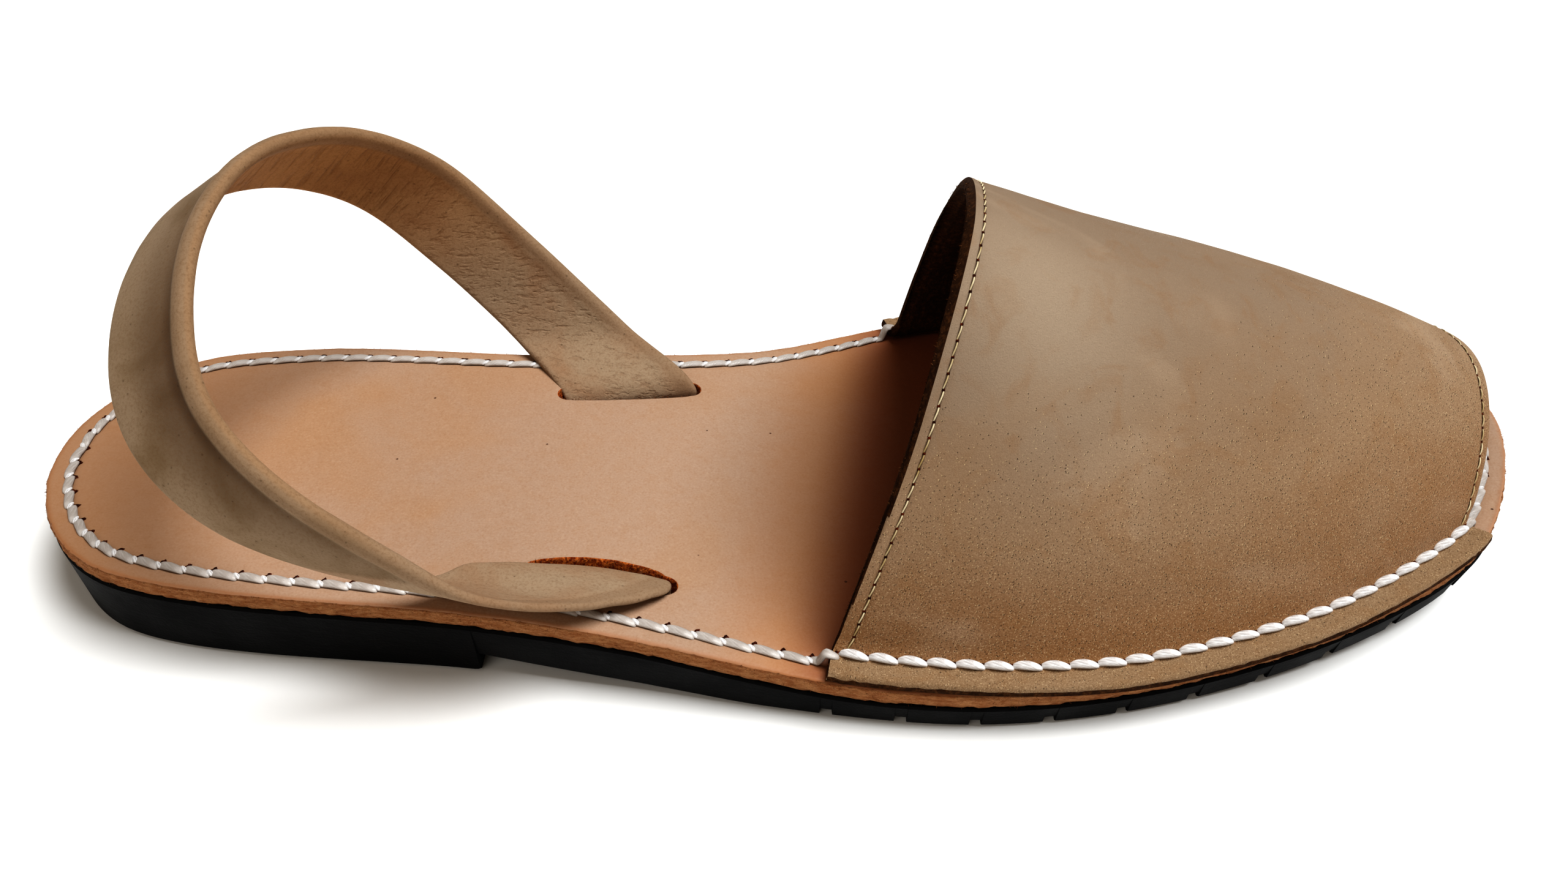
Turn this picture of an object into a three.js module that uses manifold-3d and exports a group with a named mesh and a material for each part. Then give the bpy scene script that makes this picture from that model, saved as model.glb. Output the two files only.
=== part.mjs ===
// Slingback leather sandal for a right foot, standing empty on its sole.
// The closed instep piece is one bent sheet, open at the throat, at the toe and underneath.
// +X points to the toe, +Y to the inner (medial) side, +Z up. All sizes are in millimetres.
import * as THREE from "three";
import { mergeVertices } from "three/addons/utils/BufferGeometryUtils.js";
import Module from "manifold-3d";

const wasm = await Module();
wasm.setup();

// Driving dimensions
const clearance = 0.3;
const footbedLength = 280;
const footbedWidth = 111.5;
const heelHeight = 18;
const waistHeight = 16.2;
const ballHeight = 9.7;
const toeSpring = 7.8;
const insoleThickness = 3.4;
const archLift = 4.4;
const wallTaper = 1.1;
const grooveWidth = 2.2;
const grooveDepth = 1.3;
const groovePitch = 12.7;
const heelGrooveMargin = 9;
const vampThickness = 2.2;
const seamAllowance = 5.2;
const creaseRadius = 2.6;
const throatHeight = 64.4;
const instepHeight = 51.6;
const ballRoom = 38.6;
const toeOpeningHeight = 20.5;
const strapWidth = 18.3;
const strapThickness = 3;
const strapReach = 68;
const strapSpread = 44;
const strapRise = 54;
const strapTail = 6.6;
const strapMouth = 1.8;
const lateralSlot = 28.8;
const medialSlot = 27.6;
const lateralSlotPlay = 2.6;
const medialSlotPlay = 0.9;

// Places along the length, as shares of it measured from the middle
const rampStart = -0.18 * footbedLength;
const rampEnd = 0.071 * footbedLength;
const heelBreast = -0.192 * footbedLength;
const ballContact = -0.02 * footbedLength;
const toeBreak = 0.19 * footbedLength;
const slotMiddle = -0.121 * footbedLength;
const treadEnd = 0.47 * footbedLength;

// The heel's own middle line runs to the outer side of the middle of the whole width
const heelLine = -0.066 * footbedWidth;

// Footbed outline from the back of the heel along the outer side to the toe and back along
// the inner side: share of the length, share of the width
const outlineShares = [
  [-0.496, 0.01], [-0.492, -0.174], [-0.435, -0.342], [-0.192, -0.417], [-0.1, -0.443],
  [0.123, -0.499], [0.298, -0.403], [0.424, -0.251], [0.461, -0.161], [0.5, 0.098],
  [0.481, 0.259], [0.412, 0.401], [0.302, 0.483], [0.171, 0.496], [0.074, 0.448],
  [-0.041, 0.317], [-0.157, 0.255], [-0.361, 0.242], [-0.45, 0.179],
];

// Cross-sections of the vamp, evenly spaced from throat to toe opening: height, forward lean
// as a share of it, place of the ridge across, roundness of the ridge, fullness of each side
const vampSections = [
  { height: throatHeight, lean: 0.219, ridge: 0.409, round: 0.97, outer: 1.23, inner: 2.34 },
  { height: instepHeight, lean: 0.212, ridge: 0.436, round: 0.88, outer: 1.35, inner: 2.13 },
  { height: ballRoom, lean: 0.229, ridge: 0.462, round: 0.79, outer: 1.47, inner: 1.93 },
  { height: toeOpeningHeight, lean: 0.377, ridge: 0.488, round: 0.7, outer: 1.6, inner: 1.73 },
];
// Where the vamp's two seams start at the throat and stop at the toe opening
const vampSeams = {
  outer: { start: 0.032 * footbedLength, end: 0.452 * footbedLength },
  inner: { start: 0.068 * footbedLength, end: 0.434 * footbedLength },
};

// Heel strap from the outer slot over the back of the heel to the inner slot. Shares of the
// strap's reach back, spread sideways and rise; the chord across it as a share of its width;
// the chord's turn in plan and its tilt above the ground, in degrees
const strapStations = [
  { back: 0.147, side: -0.851, up: 0.083, chord: 1.48, turn: -11, tilt: 4 },
  { back: 0.452, side: -0.975, up: 0.281, chord: 1.45, turn: -13, tilt: 10 },
  { back: 0.727, side: -0.95, up: 0.505, chord: 1.27, turn: -11, tilt: 16 },
  { back: 0.924, side: -0.739, up: 0.72, chord: 1.05, turn: -10, tilt: 24 },
  { back: 0.997, side: -0.305, up: 0.935, chord: 1.0, turn: -4, tilt: 32 },
  { back: 0.969, side: 0.197, up: 1.015, chord: 1.04, turn: 5, tilt: 34 },
  { back: 0.839, side: 0.648, up: 0.923, chord: 1.07, turn: 12, tilt: 30 },
  { back: 0.669, side: 0.94, up: 0.703, chord: 1.08, turn: 16, tilt: 22 },
  { back: 0.456, side: 0.983, up: 0.395, chord: 1.13, turn: 13, tilt: 13 },
  { back: 0.198, side: 0.85, up: 0.101, chord: 1.3, turn: 7, tilt: 5 },
];
const slotChord = 1.46 * strapWidth;

// How finely the curved faces are divided
const outlineSteps = 16;
const layerSteps = 14;
const vampRows = 26;
const archSteps = 26;
const stationSteps = 5;

// Small helpers
const mix = (a, b, t) => a + (b - a) * t;
const clamp01 = (t) => Math.min(Math.max(t, 0), 1);
const smooth = (t) => t * t * (3 - 2 * t);
const radians = (degrees) => (degrees * Math.PI) / 180;

function steps(from, to, count) {
  return Array.from({ length: count + 1 }, (_, i) => mix(from, to, i / count));
}

// Heights along the shoe
function toeRise(x) {
  return toeSpring * clamp01((x - toeBreak) / (footbedLength / 2 - toeBreak)) ** 2;
}

function footbedTop(x) {
  const back = clamp01((x + footbedLength / 2) / (rampStart + footbedLength / 2));
  const rear = mix(heelHeight, waistHeight, back);
  const ramp = smooth(clamp01((x - rampStart) / (rampEnd - rampStart)));
  return mix(rear, ballHeight, ramp) + toeRise(x);
}

function insoleUnder(x) {
  return footbedTop(x) - insoleThickness;
}

function rubberTop(x) {
  return insoleUnder(x) - clearance;
}

const archFullness = 1.25;

function rubberUnder(x) {
  const arch = clamp01((x - heelBreast) / (ballContact - heelBreast));
  return archLift * (1 - arch) ** archFullness + toeRise(x);
}

// The outline as a closed curve, and a fine sampling of it that starts at the heel
const outlineCurve = new THREE.CatmullRomCurve3(
  outlineShares.map(([along, across]) => {
    return new THREE.Vector3(along * footbedLength, across * footbedWidth, 0);
  }),
  true,
  "centripetal",
);
const outline = outlineCurve.getPoints(outlineSteps * outlineShares.length).slice(0, -1);

function inwardAt(ring, index) {
  const before = ring[(index + ring.length - 1) % ring.length];
  const after = ring[(index + 1) % ring.length];
  return new THREE.Vector3(before.y - after.y, after.x - before.x, 0).normalize();
}

function outlineRing(inset, z, every) {
  const ring = [];
  for (let i = 0; i < outline.length; i += every) {
    const point = outline[i].clone().addScaledVector(inwardAt(outline, i), inset);
    ring.push(point.setZ(z));
  }
  return ring;
}

// A point of the rim at a given x, on the outer (-1) or inner (+1) side, set in from the edge
const toeIndex = outline.reduce((best, p, i) => (p.x > outline[best].x ? i : best), 0);

function rimPoint(x, side, inset) {
  const first = side < 0 ? 2 : toeIndex;
  const last = side < 0 ? toeIndex : outline.length - 2;
  for (let i = first; i < last; i += 1) {
    const [a, b] = [outline[i], outline[i + 1]];
    if ((a.x - x) * (b.x - x) <= 0) {
      const t = (x - a.x) / (b.x - a.x || 1);
      const inward = inwardAt(outline, i).lerp(inwardAt(outline, i + 1), t).normalize();
      return a.clone().lerp(b, t).addScaledVector(inward, inset);
    }
  }
  throw new Error("no rim point at x = " + x);
}

// Solids
function solidOf(geometry) {
  const bare = geometry.clone();
  bare.deleteAttribute("normal");
  bare.deleteAttribute("uv");
  const merged = mergeVertices(bare, 1e-4);
  const mesh = new wasm.Mesh({
    numProp: 3,
    vertProperties: new Float32Array(merged.attributes.position.array),
    triVerts: new Uint32Array(merged.index.array),
  });
  return new wasm.Manifold(mesh);
}

function geometryOf(solid) {
  const mesh = solid.getMesh();
  const geometry = new THREE.BufferGeometry();
  geometry.setAttribute("position", new THREE.BufferAttribute(mesh.vertProperties, 3));
  geometry.setIndex(new THREE.BufferAttribute(mesh.triVerts, 1));
  geometry.computeVertexNormals();
  return geometry;
}

// Joins equal rings of points into a closed skin. The cap lists triangles of ring indices.
function skin(rings, cap) {
  const count = rings[0].length;
  const positions = rings.flat().flatMap((p) => [p.x, p.y, p.z]);
  const index = [];
  for (let i = 0; i + 1 < rings.length; i += 1) {
    for (let j = 0; j < count; j += 1) {
      const [a, b] = [i * count + j, i * count + ((j + 1) % count)];
      index.push(a, b, b + count, a, b + count, a + count);
    }
  }
  const top = (rings.length - 1) * count;
  for (const [a, b, c] of cap) {
    index.push(a, c, b);
    index.push(top + a, top + b, top + c);
  }
  const geometry = new THREE.BufferGeometry();
  geometry.setAttribute("position", new THREE.Float32BufferAttribute(positions, 3));
  geometry.setIndex(index);
  geometry.computeVertexNormals();
  return geometry;
}

// A wall round the outline, with a different inset at its foot and at its top
function outlineBlock(footInset, topInset, low, high, every) {
  const rings = [outlineRing(footInset, low, every), outlineRing(topInset, high, every)];
  const flat = rings[0].map((p) => new THREE.Vector2(p.x, p.y));
  return solidOf(skin(rings, THREE.ShapeUtils.triangulateShape(flat, [])));
}

// Everything between two height lines, right across the shoe
function layer(topLine, underLine, stations) {
  const upper = stations.map((x) => new THREE.Vector2(x, topLine(x)));
  const lower = stations.map((x) => new THREE.Vector2(x, underLine(x))).reverse();
  const geometry = new THREE.ExtrudeGeometry(new THREE.Shape([...lower, ...upper]), {
    depth: 2 * footbedWidth,
    bevelEnabled: false,
  });
  geometry.rotateX(Math.PI / 2);
  geometry.translate(0, footbedWidth, 0);
  return solidOf(geometry);
}

function box(x0, x1, y0, y1, z0, z1) {
  const geometry = new THREE.BoxGeometry(x1 - x0, y1 - y0, z1 - z0);
  geometry.translate((x0 + x1) / 2, (y0 + y1) / 2, (z0 + z1) / 2);
  return solidOf(geometry);
}

const pastEnd = 2;
const endStation = footbedLength / 2 + pastEnd;
const layerStations = [
  -endStation,
  ...steps(rampStart, rampEnd, layerSteps),
  ...steps(toeBreak, endStation, layerSteps),
];

// Long slot for one end of the strap, rounded at both ends and wider on its inner side
function slotPrism(side, play, low, high) {
  const half = strapThickness / 2 + 1.5 * clearance;
  const middleY = heelLine + (side < 0 ? -lateralSlot : medialSlot);
  const straight = slotChord / 2 - strapThickness / 2 + clearance;
  const points = [];
  for (const angle of steps(-90, 90, 8)) {
    const reach = Math.cos(radians(angle)) * (half + clearance);
    points.push([straight + reach, -Math.sin(radians(angle)) * half]);
  }
  for (const t of steps(0, 1, 10).slice(1, -1)) {
    points.push([mix(straight, -straight, t), -half - play * Math.sin(Math.PI * t)]);
  }
  for (const angle of steps(-90, 90, 8)) {
    const reach = Math.cos(radians(angle)) * (half + clearance);
    points.push([-straight - reach, Math.sin(radians(angle)) * half]);
  }
  const shape = new THREE.Shape(
    points.map(([x, y]) => new THREE.Vector2(slotMiddle + x, middleY + side * y)),
  );
  const geometry = new THREE.ExtrudeGeometry(shape, { depth: high - low, bevelEnabled: false });
  geometry.translate(0, 0, low);
  return solidOf(geometry);
}

// Rubber sole with heel block, arch, toe spring and cross grooves in the tread
function outsole() {
  const tallest = heelHeight + toeSpring;
  const outside = outlineBlock(wallTaper, 0, -pastEnd, tallest, 2);
  const heel = layer(rubberTop, () => 0, [-endStation, heelBreast]);
  const fore = layer(rubberTop, rubberUnder, [
    heelBreast,
    ...layerStations.filter((x) => x > heelBreast + clearance),
  ]);
  let solid = heel.add(fore).intersect(outside);
  for (let x = ballContact + groovePitch; x < treadEnd; x += groovePitch) {
    const bottom = rubberUnder(x);
    const across = footbedWidth;
    solid = solid.subtract(box(
      x - grooveWidth / 2, x + grooveWidth / 2, -across, across, -pastEnd, bottom + grooveDepth,
    ));
  }
  const inside = outlineBlock(heelGrooveMargin, heelGrooveMargin, -2 * pastEnd, tallest, 4);
  for (let x = heelBreast - groovePitch; x > -endStation; x -= groovePitch) {
    const groove = box(
      x - grooveWidth / 2, x + grooveWidth / 2, -footbedWidth, footbedWidth,
      -pastEnd, grooveDepth,
    );
    solid = solid.subtract(groove.intersect(inside));
  }
  const pocketFloor = footbedTop(slotMiddle) - strapTail - clearance;
  for (const side of [-1, 1]) {
    solid = solid.subtract(slotPrism(side, 0, pocketFloor, tallest));
  }
  return geometryOf(solid);
}

// Leather footbed, cut with a long slot at each side for the strap
function insole() {
  const outside = outlineBlock(0, 0, -pastEnd, heelHeight + toeSpring, 2);
  let solid = layer(footbedTop, insoleUnder, layerStations).intersect(outside);
  for (const side of [-1, 1]) {
    const play = side < 0 ? lateralSlotPlay : medialSlotPlay;
    solid = solid.subtract(slotPrism(side, play, -pastEnd, heelHeight + toeSpring));
  }
  return geometryOf(solid);
}

// The vamp's form at a share u of the way from throat to toe opening, on the one smooth
// curve that passes through every row of the table
function vampShape(u) {
  const place = u * (vampSections.length - 1);
  const weights = vampSections.map((_, i) => vampSections.reduce(
    (weight, __, j) => (i === j ? weight : (weight * (place - j)) / (i - j)), 1,
  ));
  const blend = (value) => weights.reduce((sum, w, i) => sum + w * value(vampSections[i]), 0);
  return {
    height: blend((row) => row.height),
    lean: blend((row) => row.lean * row.height),
    ridge: blend((row) => row.ridge),
    round: blend((row) => row.round),
    outer: blend((row) => row.outer),
    inner: blend((row) => row.inner),
  };
}

// The ridge is a rounded roof: 0 at the seams, 1 at the top
function roof(t, shape) {
  const span = Math.hypot(1, shape.round) - shape.round;
  const drop = (Math.hypot(t, shape.round) - shape.round) / span;
  return Math.max(1 - drop, 0) ** (1 / (t < 0 ? shape.outer : shape.inner));
}

function roofStart(rise, shape, fullness) {
  const span = Math.hypot(1, shape.round) - shape.round;
  const reach = shape.round + (1 - rise ** fullness) * span;
  return Math.sqrt(reach ** 2 - shape.round ** 2);
}

const creaseReach = 0.8 * creaseRadius;

function vampSection(u) {
  const shape = vampShape(u);
  const flangeTop = (p) => p.clone().setZ(footbedTop(p.x) + clearance + vampThickness);
  const side = (sign, seam) => {
    const x = mix(seam.start, seam.end, u);
    const at = (inset) => rimPoint(x, sign, inset);
    const foot = at(seamAllowance);
    foot.z = footbedTop(foot.x) + clearance;
    const edge = flangeTop(at(0));
    const bend = flangeTop(at(seamAllowance - creaseReach));
    return { edge, bend, corner: flangeTop(at(seamAllowance)), foot };
  };
  const near = side(-1, vampSeams.outer);
  const far = side(1, vampSeams.inner);
  const arch = (t) => {
    const k = roof(t, shape);
    const across = t < 0 ? shape.ridge * (1 + t) : mix(shape.ridge, 1, t);
    const point = near.foot.clone().lerp(far.foot, across);
    return point.add(new THREE.Vector3(shape.lean * k, 0, shape.height * k));
  };
  const startRise = (vampThickness + creaseRadius) / shape.height;
  const angleOf = (t) => Math.asin(t) / (Math.PI / 2);
  const from = -angleOf(roofStart(startRise, shape, shape.outer));
  const to = angleOf(roofStart(startRise, shape, shape.inner));
  const bow = steps(from, to, archSteps).map((angle) => arch(Math.sin((angle * Math.PI) / 2)));
  const fillet = (part, end) => {
    const curve = new THREE.QuadraticBezierCurve3(part.bend, part.corner, end);
    return curve.getPoints(3).slice(0, -1);
  };
  const nearFillet = fillet(near, bow[0]);
  const farFillet = fillet(far, bow[bow.length - 1]).reverse();
  return [near.edge, ...nearFillet, ...bow, ...farFillet, far.edge];
}

// Bent sheet: an outer surface, and an inner one that lies one thickness under it
function vamp() {
  const sections = steps(0, 1, vampRows).map(vampSection);
  const last = sections.length - 1;
  const width = sections[0].length;
  const rings = sections.map((section, i) => {
    const under = section.map((point, j) => {
      const ahead = sections[Math.min(i + 1, last)][j];
      const behind = sections[Math.max(i - 1, 0)][j];
      const left = section[Math.min(j + 1, width - 1)];
      const right = section[Math.max(j - 1, 0)];
      const normal = ahead.clone().sub(behind).cross(left.clone().sub(right)).normalize();
      return point.clone().addScaledVector(normal, -vampThickness);
    });
    return [...under, ...section.toReversed()];
  });
  const cap = [];
  for (let j = 0; j + 1 < width; j += 1) {
    const [a, b, c, d] = [j, j + 1, 2 * width - 2 - j, 2 * width - 1 - j];
    cap.push([a, b, c], [a, c, d]);
  }
  return geometryOf(solidOf(skin(rings, cap)));
}

// Middle of the strap and its chord at each station, with both tails going down their slots
function strapPath() {
  const seat = footbedTop(slotMiddle);
  const tail = (side, below) => ({
    middle: new THREE.Vector3(
      slotMiddle, heelLine + (side < 0 ? -lateralSlot : medialSlot), seat - below,
    ),
    chord: new THREE.Vector3(slotChord, 0, 0),
  });
  const free = strapStations.map((s) => ({
    middle: new THREE.Vector3(
      slotMiddle - s.back * strapReach, heelLine + s.side * strapSpread, seat + s.up * strapRise,
    ),
    chord: new THREE.Vector3(
      Math.cos(radians(s.turn)) * Math.cos(radians(s.tilt)),
      Math.sin(radians(s.turn)) * Math.cos(radians(s.tilt)),
      Math.sin(radians(s.tilt)),
    ).multiplyScalar(s.chord * strapWidth),
  }));
  const half = strapTail / 2;
  return [
    tail(-1, strapTail), tail(-1, half), tail(-1, -strapMouth),
    ...free,
    tail(1, -strapMouth), tail(1, half), tail(1, strapTail),
  ];
}

// Cross-section of the strap: share across its chord, and distance out from its middle
const rimRound = 0.45 * strapThickness;
const strapRim = [];
for (const [start, end] of [[1, 1], [-1, 1], [-1, -1], [1, -1]]) {
  for (const angle of steps(0, 90, 3)) {
    const along = start * end > 0 ? angle : 90 - angle;
    const across = start * (0.5 - (rimRound / strapWidth) * (1 - Math.cos(radians(along))));
    const out = end * (strapThickness / 2 - rimRound * (1 - Math.sin(radians(along))));
    strapRim.push([across, out]);
  }
}

// Swept between the two curves that its rear and its front edge follow
function heelStrap() {
  const path = strapPath();
  const edge = (share) => new THREE.CatmullRomCurve3(
    path.map((s) => s.middle.clone().addScaledVector(s.chord, share)), false, "centripetal",
  );
  const [rear, front] = [edge(-0.5), edge(0.5)];
  const count = stationSteps * (path.length - 1);
  const rings = steps(0, 1, count).map((t) => {
    const [a, b] = [rear.getPoint(t), front.getPoint(t)];
    const chord = b.clone().sub(a);
    const along = rear.getTangent(t).add(front.getTangent(t));
    const outward = along.cross(chord).normalize();
    return strapRim.map(([across, out]) => {
      return a.clone().lerp(b, 0.5 + across).addScaledVector(outward, out);
    });
  });
  const cap = steps(1, strapRim.length - 2, strapRim.length - 3).map((j) => [0, j, j + 1]);
  return geometryOf(solidOf(skin(rings, cap)));
}

// Materials
function finish(color, roughness) {
  return new THREE.MeshStandardMaterial({ color, roughness, metalness: 0 });
}

const blackRubber = finish(0x17181b, 0.78);
const tannedLeather = finish(0xcfa07e, 0.62);
const brownNubuck = finish(0x8c7052, 0.92);
const strapLeather = finish(0x94795c, 0.85);

function piece(name, geometry, material) {
  const mesh = new THREE.Mesh(geometry, material);
  mesh.name = name;
  return mesh;
}

const sandal = new THREE.Group();
sandal.add(
  piece("outsole", outsole(), blackRubber),
  piece("insole", insole(), tannedLeather),
  piece("vamp", vamp(), brownNubuck),
  piece("heel_strap", heelStrap(), strapLeather),
);

export default sandal;
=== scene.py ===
"""Visual model of a slingback leather sandal for a right foot, laid out as a Blender add-on.

Each operator makes one piece, or one group of like pieces, from the sizes and colours of the
two property groups. Shapes are worked out in millimetres, +X to the toe, +Y to the inner side,
+Z up, and turned into metres when a mesh is made.
"""

import math

import bmesh
import bpy
import numpy as np
from mathutils import Matrix, Vector, noise
from mathutils.geometry import delaunay_2d_cdt


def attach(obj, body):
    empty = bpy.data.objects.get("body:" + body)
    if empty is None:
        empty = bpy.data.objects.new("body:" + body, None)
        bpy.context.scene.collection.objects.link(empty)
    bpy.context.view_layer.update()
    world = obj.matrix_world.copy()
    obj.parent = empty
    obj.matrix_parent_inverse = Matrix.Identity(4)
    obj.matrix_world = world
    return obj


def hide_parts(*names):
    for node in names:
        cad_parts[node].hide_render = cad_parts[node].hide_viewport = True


bl_info = {
    "name": "Slingback leather sandal",
    "version": (1, 0, 0),
    "blender": (4, 5, 0),
    "location": "3D View > Sidebar > Sandal",
    "description": "Builds a sewn leather sandal piece by piece, with thread, grain and a studio",
    "category": "Add Mesh",
}

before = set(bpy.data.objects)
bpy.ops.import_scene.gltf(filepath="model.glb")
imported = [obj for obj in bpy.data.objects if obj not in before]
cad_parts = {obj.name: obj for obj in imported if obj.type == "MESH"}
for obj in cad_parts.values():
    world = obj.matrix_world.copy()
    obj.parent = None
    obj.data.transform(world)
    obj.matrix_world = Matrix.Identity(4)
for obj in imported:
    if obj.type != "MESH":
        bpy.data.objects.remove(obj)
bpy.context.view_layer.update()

MM = 0.001

# Sizes of the part, in millimetres
CLEARANCE = 0.3
LENGTH = 280.0
WIDTH = 111.5
HEEL_HEIGHT = 18.0
WAIST_HEIGHT = 16.2
BALL_HEIGHT = 9.7
TOE_SPRING = 7.8
INSOLE_THICKNESS = 3.4
ARCH_LIFT = 4.4
ARCH_FULLNESS = 1.25
WALL_TAPER = 1.1
GROOVE_WIDTH = 2.2
GROOVE_DEPTH = 1.3
GROOVE_PITCH = 12.7
HEEL_GROOVE_MARGIN = 9.0
HEEL_GROOVE_SLOPE = 0.3
BREAST_ROUNDING = 1.0
VAMP_THICKNESS = 2.2
SEAM_ALLOWANCE = 5.2
CREASE_RADIUS = 2.6
CREASE_REACH = 0.8 * CREASE_RADIUS
STRAP_WIDTH = 18.3
STRAP_THICKNESS = 3.0
STRAP_REACH = 68.0
STRAP_SPREAD = 44.0
STRAP_RISE = 54.0
STRAP_TAIL = 6.6
STRAP_MOUTH = 1.8
STRAP_BOW = 2.1
SLOT_OFFSET = {-1: -28.8, 1: 24.8}
SLOT_PLAY = {-1: 2.6, 1: 0.9}
SLOT_TURN = {-1: 0.0, 1: math.radians(12)}
SLOT_CHORD = 1.46 * STRAP_WIDTH
SLOT_POINTS = 130
SLOT_SURROUND = 2.8

# Places along the length, measured from its middle
RAMP_START = -0.18 * LENGTH
RAMP_END = 0.071 * LENGTH
HEEL_BREAST = -0.192 * LENGTH
BALL_CONTACT = -0.02 * LENGTH
TOE_BREAK = 0.19 * LENGTH
SLOT_MIDDLE = -0.121 * LENGTH
TREAD_END = 0.47 * LENGTH
HEEL_LINE = -0.066 * WIDTH

# Footbed outline: share of the length, share of the width
OUTLINE_SHARES = [
    (-0.496, 0.01), (-0.492, -0.174), (-0.435, -0.342), (-0.192, -0.417), (-0.1, -0.443),
    (0.123, -0.499), (0.298, -0.403), (0.424, -0.251), (0.461, -0.161), (0.5, 0.098),
    (0.481, 0.259), (0.412, 0.401), (0.302, 0.483), (0.171, 0.496), (0.074, 0.448),
    (-0.041, 0.317), (-0.157, 0.255), (-0.361, 0.242), (-0.45, 0.179),
]

# Vamp from throat to toe opening: height, forward lean, place of the ridge across, roundness,
# then fullness of the outer half and of the inner half
VAMP_SECTIONS = np.array([
    (64.4, 0.219 * 64.4, 0.409, 0.97, 1.23, 2.34),
    (51.6, 0.212 * 51.6, 0.436, 0.88, 1.35, 2.13),
    (38.6, 0.229 * 38.6, 0.462, 0.79, 1.47, 1.93),
    (20.5, 0.377 * 20.5, 0.488, 0.70, 1.60, 1.73),
])
# Where the flange starts and ends along the shoe, on the outer (-1) and the inner (1) side
VAMP_SEAMS = {-1: (0.032 * LENGTH, 0.452 * LENGTH), 1: (0.068 * LENGTH, 0.434 * LENGTH)}

# Finish of the vamp: its throat edge, the pull of its outer flange, the place of a painted sheen, the
# hem line
THROAT_FLARE = 2.0
THROAT_BEVEL = 0.7
THROAT_SKIVE = 1.2
FLANGE_WRAP = 1.5
FLANGE_DROP = 0.42
SHEEN_PLACE = (40.0, -21.0)
HEM_LINE = 2.6

# Loose fibres: how many on each raw edge
THROAT_FIBRES = 460
RIM_FIBRES = 2600
SLOT_FIBRES = 260

# Heel strap: back, side, up as shares; chord as a share of the width; turn and tilt in degrees
STRAP_STATIONS = [
    (0.147, -0.851, 0.083, 1.48, -11, 4),
    (0.452, -0.975, 0.281, 1.45, -13, 10),
    (0.727, -0.950, 0.505, 1.27, -11, 16),
    (0.924, -0.739, 0.720, 1.05, -10, 24),
    (0.997, -0.305, 0.935, 1.00, -4, 32),
    (0.969, 0.197, 1.015, 1.04, 5, 34),
    (0.839, 0.648, 0.923, 1.07, 12, 30),
    (0.669, 0.940, 0.703, 1.08, 16, 22),
    (0.456, 0.983, 0.395, 1.13, 13, 13),
    (0.198, 0.850, 0.101, 1.30, 7, 5),
]
# How both ends of the strap settle over their slots: step along the path, then move in Y and Z
STRAP_SETTLE_FRONT = [
    (0, 0, 0), (1.15, 0, 0), (1.45, -0.6, -0.3), (1.7, -1.6, -1.2), (2.0, -2.6, -2.3),
    (2.15, -2.9, -2.5), (2.5, -1.5, -2.2), (2.86, 0.8, -1.5), (3.2, 0.6, -1.5),
    (3.57, -0.5, -2.4), (3.93, -1.1, -3.2), (4.3, 0, -1.5), (4.7, 0, 0),
    (11.8, 0, 0), (13, 0.4, -3.0), (14, 0, -1.6), (15, 0, 0),
]
STRAP_SETTLE_REAR = [
    (0, 0, 0), (2.15, 0, 0), (2.5, 0.9, 1.3), (2.86, 2.0, 2.6), (3.2, 0.4, 0.6), (3.57, 0, 0),
    (11.8, 0, 0), (13, 0.4, -3.0), (14, 0, -1.6), (15, 0, 0),
]
STRAP_STEPS = 14


# Small helpers
def mix(a, b, t):
    return a + (b - a) * t


def smooth(t):
    t = np.clip(t, 0, 1)
    return t * t * (3 - 2 * t)


def bell(value, width):
    """1 at 0, falling softly to nothing at about twice the width."""
    return np.exp(-(np.asarray(value) / width) ** 2)


def unit(vectors):
    length = np.linalg.norm(vectors, axis=-1, keepdims=True)
    return vectors / np.maximum(length, 1e-9)


def grain(points, size, seed=0.0):
    """Smooth noise from about -1 to 1 at each point, with lumps of that size in millimetres."""
    shift = Vector((seed * 7.3, seed * 3.1, seed * 5.7))
    return np.array([noise.noise(Vector(p) / size + shift) for p in points])


def linear(hex_colour):
    """An sRGB hex value as linear red, green, blue and alpha."""
    parts = [int(hex_colour[i:i + 2], 16) / 255 for i in (1, 3, 5)]
    return [p / 12.92 if p <= 0.04045 else ((p + 0.055) / 1.055) ** 2.4 for p in parts] + [1.0]


def catmull_rom(points, closed, per):
    """Centripetal curve through the points, with per steps in each stretch."""
    points = np.asarray(points, float)
    if closed:
        padded = np.vstack([points[-1:], points, points[:2]])
    else:
        padded = np.vstack([2 * points[0] - points[1], points, 2 * points[-1] - points[-2]])
    curve = []
    for p0, p1, p2, p3 in zip(padded, padded[1:], padded[2:], padded[3:]):
        spans = ((p0, p1), (p1, p2), (p2, p3))
        d0, d1, d2 = (max(np.linalg.norm(b - a) ** 0.5, 1e-4) for a, b in spans)
        t1 = ((p1 - p0) / d0 - (p2 - p0) / (d0 + d1) + (p2 - p1) / d1) * d1
        t2 = ((p2 - p1) / d1 - (p3 - p1) / (d1 + d2) + (p3 - p2) / d2) * d1
        for s in np.arange(per) / per:
            curve.append(
                (2 * s ** 3 - 3 * s ** 2 + 1) * p1 + (s ** 3 - 2 * s ** 2 + s) * t1
                + (3 * s ** 2 - 2 * s ** 3) * p2 + (s ** 3 - s ** 2) * t2
            )
    return np.array(curve if closed else curve + [points[-1]])


def arc_lengths(points):
    return np.concatenate([[0], np.cumsum(np.linalg.norm(np.diff(points, axis=0), axis=1))])


def grid_lengths(grid, axis):
    """Distance of each point of a grid from the grid's first row (axis 0) or column (axis 1)."""
    steps = np.linalg.norm(np.diff(grid, axis=axis), axis=2)
    return np.concatenate([np.zeros_like(steps.take([0], axis)), np.cumsum(steps, axis)], axis)


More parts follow.
